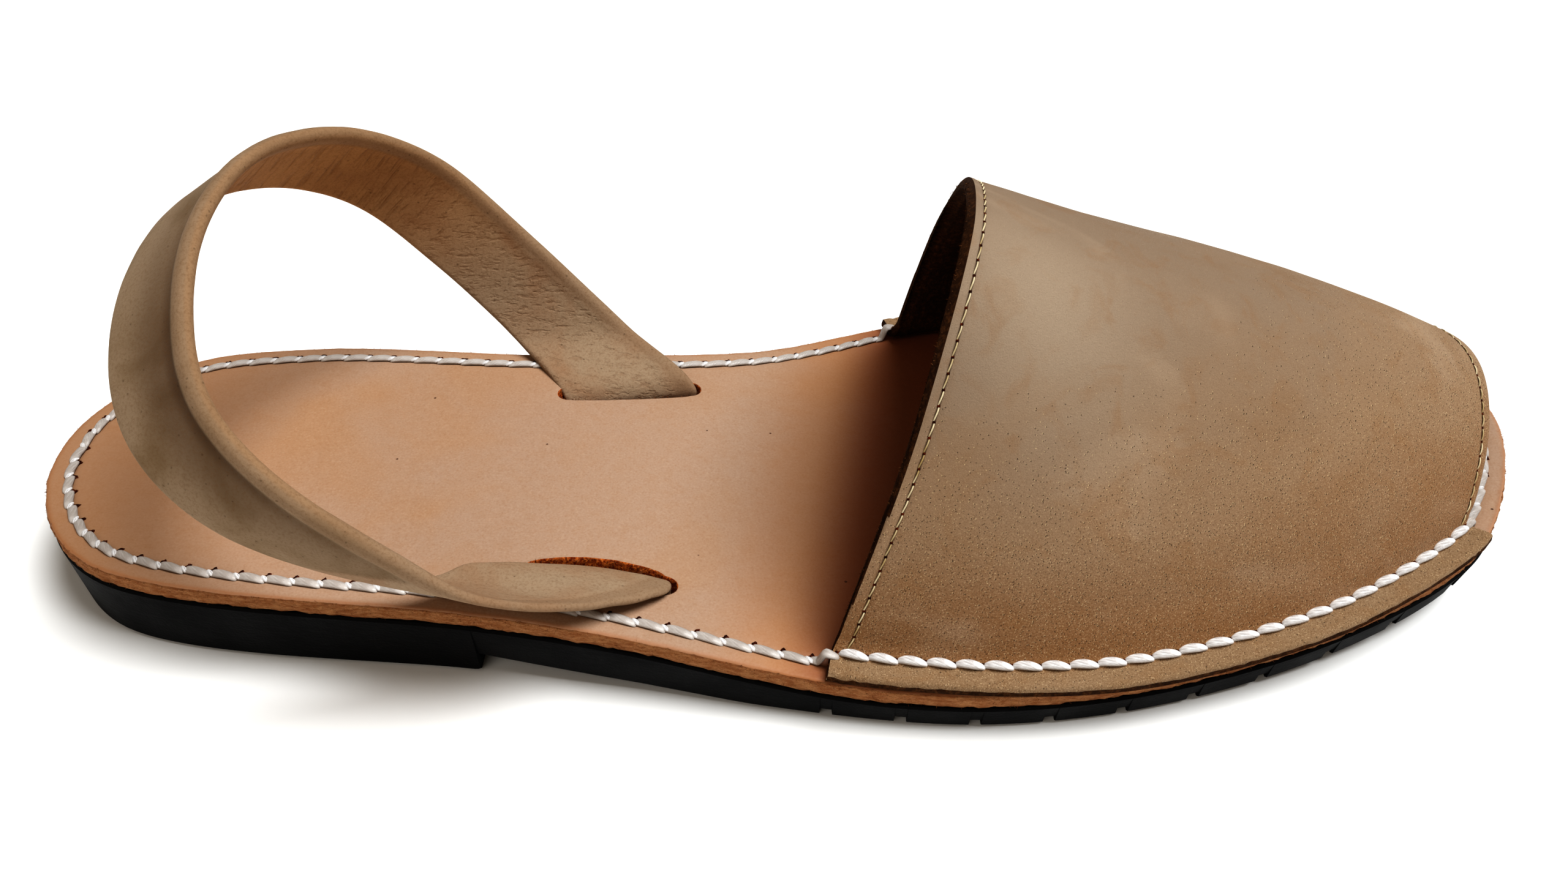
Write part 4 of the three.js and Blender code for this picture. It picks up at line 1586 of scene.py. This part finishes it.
def make_strap(sizes, colours):
    """Heel strap: one folded band with a rolled front edge, swept between its two edge curves."""
    rear, front = strap_edges()
    along = unit(np.gradient(rear, axis=0)) + unit(np.gradient(front, axis=0))
    outward = unit(np.cross(front - rear, along))
    arc = arc_lengths((rear + front) / 2)
    total = arc[-1]
    half = STRAP_THICKNESS / 2
    spots = np.array([
        0, 0.1, 0.3, 0.6, 1.0, 1.6, 2.4, 3.6, 5.2, 7, 9, 11, 12.2, 13.0, 13.5, 13.9, 14.25, 14.6,
        15, 15.5, 16, 16.5, 17, 17.4, 17.7, 17.95, 18.12, 18.23, STRAP_WIDTH,
    ])
    from_front = STRAP_WIDTH - spots
    rim = 3.7
    rolled = 0.92 * half * np.sqrt(np.clip(1 - ((from_front - 1.7) / 2.4) ** 2, 0, 1))
    sheet = 0.85 + 0.2 * smooth((from_front - rim) / 5) - 0.25 * smooth((4 - spots) / 4)
    outer_rim = np.where(from_front < rim, np.maximum(rolled, 0.85), sheet)
    inner_rim = mix(half * 0.95, 1.05, smooth((from_front - 1.8) / 3))
    nose = quarter_round(from_front, 1.5)
    thin_nose = quarter_round(from_front, 0.7)
    tail_round = 0.3 + 0.7 * quarter_round(spots, 0.9)
    share = spots / STRAP_WIDTH
    across = np.concatenate([share, share[::-1]]) - 0.5
    turned = smooth(from_front / 2.6)
    face = np.concatenate([turned, -turned[::-1]])
    shape = Shape("along", "across", "face", "wrinkled", "near_side", "pale")
    loops = []
    for i in range(len(rear)):
        roll = float(smooth((arc[i] - 34) / 26) * smooth((total - 4 - arc[i]) / 4))
        outer_depth = mix(0.75 * thin_nose, outer_rim * nose, roll) * tail_round
        inner_depth = mix(0.75 * thin_nose, inner_rim * nose, roll) * tail_round
        base = rear[i] + (front[i] - rear[i]) * share[:, None]
        bow = STRAP_BOW * float(1 - smooth((arc[i] - 7) / 14))
        base = base + np.array([0, 1.0, 0]) * (bow * np.sin(np.pi * share) ** 0.7)[:, None]
        sway = (0.14 * grain(base, 11, 8) + 0.05 * grain(base, 4, 9))[:, None] * outward[i]
        outer = base + sway + outward[i] * outer_depth[:, None]
        inner = base + sway - outward[i] * inner_depth[:, None]
        loop = np.vstack([outer, inner[::-1]])
        part = arc[i] / total
        ends = float(smooth((part - 0.66) / 0.2))
        # Paler ends of the inner face, partly painted light where those ends are lit
        pale = max(ends, float(smooth((0.3 - part) / 0.1)))
        near_side = float(0.12 + 0.78 * bell(part - 0.36, 0.13))
        loops.append(shape.add(
            loop, along=arc[i], across=across, face=face * roll - 1 + roll, wrinkled=ends,
            near_side=near_side, pale=pale,
        ))
    for a, b in zip(loops, loops[1:]):
        shape.strip(a, b)
    shape.face(loops[0])
    shape.face(loops[-1][::-1])
    piece = shape.build("heel_band", [strap_leather(colours)])
    seat(piece, "strap_leather", "heel_strap")


# Seams
def tube(shape, path, across, up, widths, heights, sides, twist, plies, ply_depth, flat=0.0):
    """A soft tube along a path, with its own width and height at each point and twisted plies."""
    angles = np.linspace(0, 2 * np.pi, sides, endpoint=False)
    lengths = arc_lengths(path)
    rows = []
    for k, middle in enumerate(path):
        share = k / (len(path) - 1)
        ridge = 1 - ply_depth + ply_depth * np.abs(np.cos(plies / 2 * (angles - twist * share)))
        ring = (middle + across[k] * (np.cos(angles) * widths[k] * ridge)[:, None]
                + up[k] * (np.sin(angles) * heights[k] * ridge)[:, None])
        around = np.cos(angles - twist * share) * 2 + np.sin(angles) * 0.7
        rows.append(shape.add(ring, along=lengths[k], around=around, flat=flat))
    for a, b in zip(rows, rows[1:]):
        shape.strip(a, b)
    shape.face(rows[0][::-1])
    shape.face(rows[-1])


def flange_span(side):
    """Arc lengths along the rim where the vamp's flange starts and ends."""
    order = rim_side(side)
    start, end = VAMP_SEAMS[side]
    start -= THROAT_FLARE if side < 0 else 0.0
    return [float(np.interp(x, RIM[order, 0], RIM_ARC[order])) for x in (start, end)]


def seam_plan(sizes):
    """Holes of the sole seam in order round the rim: arc length, and whether they pierce the vamp."""
    pitch = sizes.seam_pitch / MM
    outer_start, outer_end = flange_span(-1)
    inner_start, inner_end = flange_span(1)
    margin = sizes.flange_margin / MM
    stretches = [
        (outer_start + margin, outer_end - margin, True),
        (outer_end - margin, inner_end + margin, False),
        (inner_end + margin, inner_start - margin, True),
        (inner_start - margin, outer_start + margin + RIM_LENGTH, False),
    ]
    holes = []
    for first, last, sewn in stretches:
        count = max(round((last - first) / pitch), 1)
        for k in range(count):
            holes.append((first + (last - first) * k / count, sewn or k == 0))
    return holes


def hole_place(arc, on_vamp, sizes):
    spot, inward = rim_place(arc, sizes.seam_inset / MM)
    z = float(footbed_top(spot[0])) + (CLEARANCE + VAMP_THICKNESS if on_vamp else 0.0)
    if on_vamp and spot[1] < 0:
        wrap = float(flange_wrap(spot[0]))
        spot = spot - np.array([0, wrap])
        z -= FLANGE_DROP * wrap
    return np.array([*spot, z]), np.array([*inward, 0.0])


def thread_side(place):
    """+1 on the outer half of the sole and -1 on the inner half, so the thread leans alike in both."""
    return 1.0 if place[1] < HEEL_LINE else -1.0


def make_sole_seam(sizes, colours):
    """Waxed thread of the sole seam: fat stitches in the vamp's crease, flat twisted ones elsewhere."""
    holes = seam_plan(sizes)
    shape = Shape("along", "around", "flat")
    s = np.linspace(0, 1, 19)
    dome = np.sin(np.pi * s)
    up = np.array([0, 0, 1.0])
    step = VAMP_THICKNESS + CLEARANCE
    for (arc, sewn), (next_arc, next_sewn) in zip(holes, holes[1:] + holes[:1]):
        start, inward = hole_place(arc, sewn, sizes)
        end, _ = hole_place(next_arc, next_sewn, sizes)
        fat = sewn and next_sewn
        side = thread_side(start)
        way = unit((end - start) * [1, 1, 0])
        across = np.cross(up, way)
        across = across * (1 if np.dot(across, inward) > 0 else -1)
        if fat:
            start, end = start - way * 0.15, end + way * 0.15
            half, flatness, sunk, rise, lean = sizes.thread_fat / MM / 2, 0.84, -0.25, 0.8, 0.2
            body = 0.16 + 0.84 * dome ** 0.45
        else:
            half, flatness, sunk, rise, lean = sizes.thread_slim / MM / 2, 0.5, -0.15, 0.28, 0.22
            body = 0.78 + 0.22 * dome ** 0.5
        path = mix(start, end, s[:, None]) + up * (sunk + (rise - sunk) * dome ** 0.5)[:, None]
        if sewn != next_sewn:
            climb = s if next_sewn else 1 - s
            path[:, 2] += step * (smooth((climb - 0.26) / 0.32) - climb)
            body = 0.7 + 0.45 * dome
        path = path + across * (np.cos(np.pi * s) * lean * side + (0.2 if fat else -0.05))[:, None]
        ways = unit(np.gradient(path, axis=0))
        sides = unit(np.cross(ways, np.cross(np.tile(across, (len(s), 1)), ways)))
        ups = unit(np.cross(ways, sides)) * np.sign(np.cross(ways, sides)[:, 2:])
        tube(
            shape, path, sides, ups, half * body, half * flatness * body, sides=14, twist=2.6 * side,
            plies=3 if fat else 2, ply_depth=0.07 if fat else 0.1, flat=0.1 if fat else 0.75,
        )
        if not next_sewn:
            knot = np.linspace(-1, 1, 11)[:, None]
            middle = end + up * 0.14 - way * 0.2
            run = way * 0.85 - across * 0.5 * side
            path = middle + run * knot + up * (0.22 * (1 - knot ** 2))
            body = 0.35 + 0.65 * np.sqrt(1 - np.clip(knot[:, 0] ** 2, 0, 1))
            aside = np.tile(unit(np.cross(up, run)), (11, 1))
            tube(
                shape, path, aside, np.tile(up, (11, 1)), 0.5 * body, 0.3 * body, sides=10,
                twist=1.5 * side, plies=2, ply_depth=0.12,
            )
    piece = shape.build("sole_seam_thread", [waxed_thread(colours)])
    seat(piece, "footbed_leather")


def make_awl_holes(sizes, colours):
    """Mouths of the sewing holes, low dark tufts beside the thread: torn fibres, darkened with painted
    shade of the holes.
    """
    shape = Shape()
    count = 12
    depth = 0.4
    for number, (arc, sewn) in enumerate(seam_plan(sizes)):
        spot, inward = hole_place(arc, sewn, sizes)
        side = thread_side(spot)
        way = np.array([inward[1], -inward[0], 0]) * side
        if sewn:
            long, wide, top = 0.8, 0.62, 0.62
            centre = spot + inward * 0.72
        else:
            long, wide, top = 0.7, 0.68, 0.08
            centre = spot + inward * 0.9 * side + way * 0.25
        ring = []
        for k in range(count):
            angle = 2 * math.pi * k / count
            reach = 1 + 0.22 * math.cos(3 * angle + 1.6) + 0.12 * math.sin(5 * angle + number * 2.1)
            reach *= 0.85 + 0.3 * noise.noise(Vector((number * 1.3, k * 0.8, 0.5)))
            offset = way * math.cos(angle) * long + inward * math.sin(angle) * wide
            ring.append(centre + offset * reach)
        ring = np.array(ring)
        low = shape.add(ring + [0, 0, top - depth])
        high = shape.add(ring + [0, 0, top])
        middle = shape.add([centre + [0, 0, top - 0.05]])
        under = shape.add([centre + [0, 0, top - depth]])
        shape.strip(low, high)
        for k in range(count):
            shape.face((high[k], high[(k + 1) % count], middle[0]))
            shape.face((low[(k + 1) % count], low[k], under[0]))
    piece = shape.build("seam_holes", [awl_hole(colours)])
    seat(piece, "footbed_leather")


def surface_line(grid, normals, distance, target):
    """Points and normals of the grid's columns where the distance along them reaches target."""
    points, ups = [], []
    for j in range(grid.shape[1]):
        column = distance[:, j]
        order = np.argsort(column)
        points.append([np.interp(target, column[order], grid[order, j, c]) for c in range(3)])
        ups.append([np.interp(target, column[order], normals[order, j, c]) for c in range(3)])
    return np.array(points), unit(np.array(ups))


def make_hem_stitches(sizes, colours):
    """Fine lockstitch along the throat and the toe opening, with its needle holes."""
    grid, normals, throat, toe, _ = dressed_vamp(sizes)
    hem = sizes.hem_width / MM
    steps, corners = 8, 8
    s = np.linspace(0, 1, steps + 1)
    body = 0.6 + 0.4 * np.sin(np.pi * s) ** 0.6
    rise = -0.12 + 0.34 * np.sin(np.pi * s) ** 0.6
    slant = 0.11 * np.cos(np.pi * s)
    thread, holes = Shape("along", "around"), Shape()
    radius = sizes.hem_thread_width / MM / 2
    for distance in (throat, toe):
        points, ups = surface_line(grid, normals, distance, hem)
        off_flanges = slice(12, -12)
        points, ups = points[off_flanges], ups[off_flanges]
        arc = arc_lengths(points)
        count = round(arc[-1] / (sizes.hem_pitch / MM))
        at = np.linspace(0, arc[-1], count * steps + 1)
        line = np.stack([np.interp(at, arc, points[:, c]) for c in range(3)], 1)
        lift = unit(np.stack([np.interp(at, arc, ups[:, c]) for c in range(3)], 1))
        for k in range(count):
            part = slice(k * steps, (k + 1) * steps + 1)
            way = unit(np.gradient(line[part], axis=0))
            across = unit(np.cross(lift[part], way))
            path = line[part] + lift[part] * rise[:, None] + across * slant[:, None]
            tube(
                thread, path, across, lift[part], radius * body, radius * 0.8 * body, sides=8,
                twist=3, plies=2, ply_depth=0.15,
            )
            # Needle holes as small dark discs, painted shade in the holes
            centre, up, side = line[k * steps], lift[k * steps], across[0]
            ring = [
                centre + way[0] * math.cos(a) * 0.34 + side * math.sin(a) * 0.3 + up * 0.05
                for a in np.linspace(0, 2 * math.pi, corners, endpoint=False)
            ]
            rim_ids = holes.add(ring)
            low_ids = holes.add(np.array(ring) - up * 0.3)
            lid = holes.add([centre + up * 0.07])
            base = holes.add([centre - up * 0.3])
            holes.strip(low_ids, rim_ids)
            for m in range(corners):
                holes.face((rim_ids[m], rim_ids[(m + 1) % corners], lid[0]))
                holes.face((low_ids[(m + 1) % corners], low_ids[m], base[0]))
    seat(thread.build("hem_thread", [hem_thread(colours)]), "vamp_nubuck")
    seat(holes.build("needle_holes", [awl_hole(colours)]), "vamp_nubuck")


def strands(shape, root, way, length, width, seed):
    """One short curled fibre that tapers to a point."""
    places = ((seed, 1, 2), (3, seed, 4), (5, 6, seed))
    bend = np.array([noise.noise(Vector(place)) for place in places])
    aside = unit(np.cross(way, [0.3, 0.2, 1.0]))
    other = unit(np.cross(way, aside))
    rows = []
    for share in (0, 1 / 3, 2 / 3, 1):
        middle = root + way * length * share + bend * length * 0.9 * share ** 2
        radius = width * (1 - 0.85 * share)
        rows.append(shape.add([
            middle + (aside * math.cos(a) + other * math.sin(a)) * radius for a in (0, 2.1, 4.2)
        ]))
    for a, b in zip(rows, rows[1:]):
        shape.strip(a, b)
    shape.face(rows[0][::-1])
    shape.face(rows[-1])


def make_fibres(sizes, colours):
    """Loose fibres on the raw edges: round the throat, along the flanges and in the slots."""
    rng = np.random.default_rng(11)
    dark, warm = Shape(), Shape()
    grid, normals = dressed_vamp(sizes)[:2]
    last = grid.shape[1] - 1
    for number in range(THROAT_FIBRES):
        j = int(rng.integers(6, last - 6))
        share = rng.random()
        depth = rng.uniform(0.5, VAMP_THICKNESS - 0.1)
        out = unit(grid[0, j] - grid[4, j])
        way = out + rng.normal(0, 0.5, 3) - normals[0, j] * 0.4
        root = mix(grid[0, j], grid[0, j + 1], share) - normals[0, j] * depth - out * 0.1
        tuft = warm if number % 3 == 0 else dark
        strands(tuft, root, unit(way), rng.uniform(0.12, 0.5), rng.uniform(0.04, 0.08), number * 1.7)
    for number in range(RIM_FIBRES):
        arc = rng.uniform(0, RIM_LENGTH)
        spot, inward = rim_place(arc, 0.25)
        if number % 2:
            depth = 0.25 + 0.5 * rng.random() ** 2
        else:
            depth = rng.uniform(0.3, INSOLE_THICKNESS - 0.2)
        root = np.array([*spot, float(footbed_top(spot[0])) - depth])
        way = np.array([*(-inward), 0]) * 0.35 + rng.normal(0, 0.4, 3) * [1, 1, 0.7]
        strands(warm, root, unit(way), rng.uniform(0.25, 0.6), rng.uniform(0.04, 0.08), number * 2.3)
    for side in (-1, 1):
        loop = slot_loop(side, 0.1)
        outward = unit(slot_loop(side, 0.6) - loop)
        for number in range(SLOT_FIBRES):
            k = int(rng.integers(0, len(loop)))
            depth = rng.uniform(0.1, 1.6)
            root = np.array([*loop[k], float(footbed_top(loop[k][0])) - depth])
            way = np.array([*(-outward[k] * 0.5), 0.5]) + rng.normal(0, 0.4, 3)
            length, width = rng.uniform(0.25, 0.75), rng.uniform(0.05, 0.09)
            strands(warm, root, unit(way), length, width, number * 3.1)
    seat(dark.build("vamp_edge_fibres", [flesh_side(colours)]), "vamp_nubuck")
    seat(warm.build("footbed_edge_fibres", [cut_edge_leather(colours)]), "footbed_leather")


def make_studio(sizes, colours):
    """Paper floor, soft lights and the camera at the photograph's angle."""
    scene = bpy.context.scene
    paper = bpy.data.meshes.new("paper_floor")
    half = 2.5
    corners = [(-half, -half, 0), (half, -half, 0), (half, half, 0), (-half, half, 0)]
    paper.from_pydata(corners, [], [(0, 1, 2, 3)])
    paper.materials.append(studio_paper(colours))
    floor = bpy.data.objects.new("paper_floor", paper)
    scene.collection.objects.link(floor)

    world = bpy.data.worlds.new("studio_air")
    scene.world = world
    world.use_nodes = True
    background = world.node_tree.nodes["Background"]
    background.inputs["Color"].default_value = (1.0, 0.84, 0.66, 1.0)
    background.inputs["Strength"].default_value = sizes.air_strength

    def aim(light, place, target):
        """Hangs a light at a place and turns it to the target."""
        lamp = bpy.data.objects.new(light.name, light)
        lamp.location = place
        lamp.rotation_euler = (Vector(target) - Vector(place)).to_track_quat("-Z", "Y").to_euler()
        scene.collection.objects.link(lamp)

    window = bpy.data.lights.new("window_light", "SUN")
    window.energy = sizes.key_strength
    window.angle = math.radians(36)
    window.color = (0.96, 0.985, 1.0)
    aim(window, (0.46, 0.04, 1.0), (0, 0, 0))
    fill = bpy.data.lights.new("fill_light", "AREA")
    fill.energy = sizes.fill_strength
    fill.size = 1.2
    fill.color = (1.0, 0.93, 0.85)
    aim(fill, (-0.7, -1.2, 0.9), (0, 0, 0.03))

    camera_data = bpy.data.cameras.new("camera")
    camera_data.sensor_width = 36.0
    camera_data.lens = 30.0
    camera_data.clip_start = 0.01
    camera = bpy.data.objects.new("camera", camera_data)
    # Place and turn of the camera, fitted to the outline of the sandal in the photograph
    right = Vector((0.99957769, 0.02864174, 0.00490916))
    up = Vector((-0.02221981, 0.64445333, 0.76432073))
    back = Vector((0.01872775, -0.76410703, 0.64481759))
    turn = Matrix((right, up, back)).transposed().to_4x4()
    camera.matrix_world = Matrix.Translation((0.0031296, -0.1944574, 0.1808365)) @ turn
    scene.collection.objects.link(camera)
    scene.camera = camera
    scene.view_settings.view_transform = "Standard"
    scene.view_settings.look = "High Contrast"


# Properties
def length(name, description, value):
    return bpy.props.FloatProperty(
        name=name, description=description, default=value * MM, min=0.0, unit="LENGTH", precision=4,
    )


def colour(name, description, hex_value):
    return bpy.props.FloatVectorProperty(
        name=name, description=description, default=linear(hex_value), size=4, min=0.0, max=1.0,
        subtype="COLOR",
    )


class SandalSizes(bpy.types.PropertyGroup):
    """Sizes of the finish that a user would change."""
    sole_edge_radius: length("Sole edge", "Radius of the moulded sole's edges", 0.8)
    seam_inset: length("Seam inset", "Distance of the sole seam from the rim", 4.1)
    seam_pitch: length("Seam pitch", "Distance between the holes of the sole seam", 5.0)
    seam_pull: length("Seam pull", "How deep the thread pulls into the footbed", 0.35)
    flange_margin: length("Flange margin", "Distance of the last hole from the flange's end", 1.6)
    thread_fat: length("Vamp thread", "Width of a stitch on the vamp", 1.75)
    thread_slim: length("Footbed thread", "Width of a stitch on the footbed", 1.85)
    hem_width: length("Hem width", "Distance of the fine stitching from the cut edge", HEM_LINE)
    hem_pitch: length("Hem pitch", "Length of one fine stitch", 2.65)
    hem_thread_width: length("Hem thread", "Width of the fine thread", 0.3)
    cut_roughness: length("Cut roughness", "How far fibres stand out of a cut edge", 0.26)
    air_strength: bpy.props.FloatProperty(
        name="Air", description="Strength of the even light from all round", default=0.13, min=0.0,
    )
    key_strength: bpy.props.FloatProperty(
        name="Window", description="Strength of the soft light from behind", default=3.15, min=0.0,
    )
    fill_strength: bpy.props.FloatProperty(
        name="Fill", description="Power of the weak light from the front", default=4.5, min=0.0,
    )


class SandalColours(bpy.types.PropertyGroup):
    """Colours of the materials, before their clouds, wear and painted light."""
    rubber: colour("Rubber", "Moulded sole rubber", "#080809")
    footbed: colour("Footbed", "Grain side of the footbed leather", "#a98d78")
    cut_edge: colour("Cut edge", "Cut edge of the footbed leather", "#a56a3f")
    vamp: colour("Vamp", "Brushed nubuck of the vamp", "#967c62")
    flesh: colour("Flesh side", "Back of the vamp leather", "#3a2312")
    strap: colour("Strap", "Outer face of the heel strap", "#95816a")
    thread: colour("Sole thread", "Waxed thread of the sole seam", "#fbfafa")
    hem_thread: colour("Hem thread", "Fine thread of the hems", "#d8cbaa")
    # The hole colour is partly torn leather and partly painted shade in the hole
    hole: colour("Hole", "Torn leather in a sewing hole", "#220d05")
    paper: colour("Paper", "Background paper", "#fbfbfa")


# Operators
def run(make, context):
    """Makes a piece from the scene's sizes and colours. An error in it stops the script."""
    make(context.scene.sandal_sizes, context.scene.sandal_colours)
    return {"FINISHED"}


class SANDAL_OT_outsole(bpy.types.Operator):
    """Make the moulded rubber sole."""
    bl_idname = "sandal.outsole"
    bl_label = "Rubber sole"

    def execute(self, context):
        return run(make_outsole, context)


class SANDAL_OT_insole(bpy.types.Operator):
    """Make the leather footbed with its slots."""
    bl_idname = "sandal.insole"
    bl_label = "Leather footbed"

    def execute(self, context):
        return run(make_insole, context)


class SANDAL_OT_vamp(bpy.types.Operator):
    """Make the nubuck instep piece."""
    bl_idname = "sandal.vamp"
    bl_label = "Nubuck vamp"

    def execute(self, context):
        return run(make_vamp, context)


class SANDAL_OT_strap(bpy.types.Operator):
    """Make the heel strap."""
    bl_idname = "sandal.strap"
    bl_label = "Heel strap"

    def execute(self, context):
        return run(make_strap, context)


class SANDAL_OT_sole_seam(bpy.types.Operator):
    """Sew the sole seam with waxed thread."""
    bl_idname = "sandal.sole_seam"
    bl_label = "Sole seam"

    def execute(self, context):
        return run(make_sole_seam, context)


class SANDAL_OT_holes(bpy.types.Operator):
    """Make the torn mouths of the sewing holes."""
    bl_idname = "sandal.holes"
    bl_label = "Sewing holes"

    def execute(self, context):
        return run(make_awl_holes, context)


class SANDAL_OT_hems(bpy.types.Operator):
    """Sew the fine hems of the throat and the toe opening."""
    bl_idname = "sandal.hems"
    bl_label = "Hem stitching"

    def execute(self, context):
        return run(make_hem_stitches, context)


class SANDAL_OT_fibres(bpy.types.Operator):
    """Add loose fibres to the raw edges."""
    bl_idname = "sandal.fibres"
    bl_label = "Edge fibres"

    def execute(self, context):
        return run(make_fibres, context)


class SANDAL_OT_studio(bpy.types.Operator):
    """Set up the paper floor, the lights and the camera."""
    bl_idname = "sandal.studio"
    bl_label = "Studio"

    def execute(self, context):
        return run(make_studio, context)


OPERATORS = (
    SANDAL_OT_outsole, SANDAL_OT_insole, SANDAL_OT_vamp, SANDAL_OT_strap, SANDAL_OT_sole_seam,
    SANDAL_OT_holes, SANDAL_OT_hems, SANDAL_OT_fibres, SANDAL_OT_studio,
)


class SANDAL_PT_panel(bpy.types.Panel):
    """Sidebar panel with the pieces in the order of making."""
    bl_idname = "SANDAL_PT_panel"
    bl_label = "Sandal"
    bl_space_type = "VIEW_3D"
    bl_region_type = "UI"
    bl_category = "Sandal"

    def draw(self, context):
        for group in (context.scene.sandal_sizes, context.scene.sandal_colours):
            box = self.layout.box()
            for name in group.__annotations__:
                box.prop(group, name)
        for operator in OPERATORS:
            self.layout.operator(operator.bl_idname)


CLASSES = (SandalSizes, SandalColours, *OPERATORS, SANDAL_PT_panel)


def register():
    for cls in CLASSES:
        bpy.utils.register_class(cls)
    bpy.types.Scene.sandal_sizes = bpy.props.PointerProperty(type=SandalSizes)
    bpy.types.Scene.sandal_colours = bpy.props.PointerProperty(type=SandalColours)


def unregister():
    del bpy.types.Scene.sandal_colours
    del bpy.types.Scene.sandal_sizes
    for cls in reversed(CLASSES):
        bpy.utils.unregister_class(cls)


def main():
    register()
    for operator in OPERATORS:
        group, name = operator.bl_idname.split(".")
        getattr(getattr(bpy.ops, group), name)()


if __name__ == "__main__":
    main()
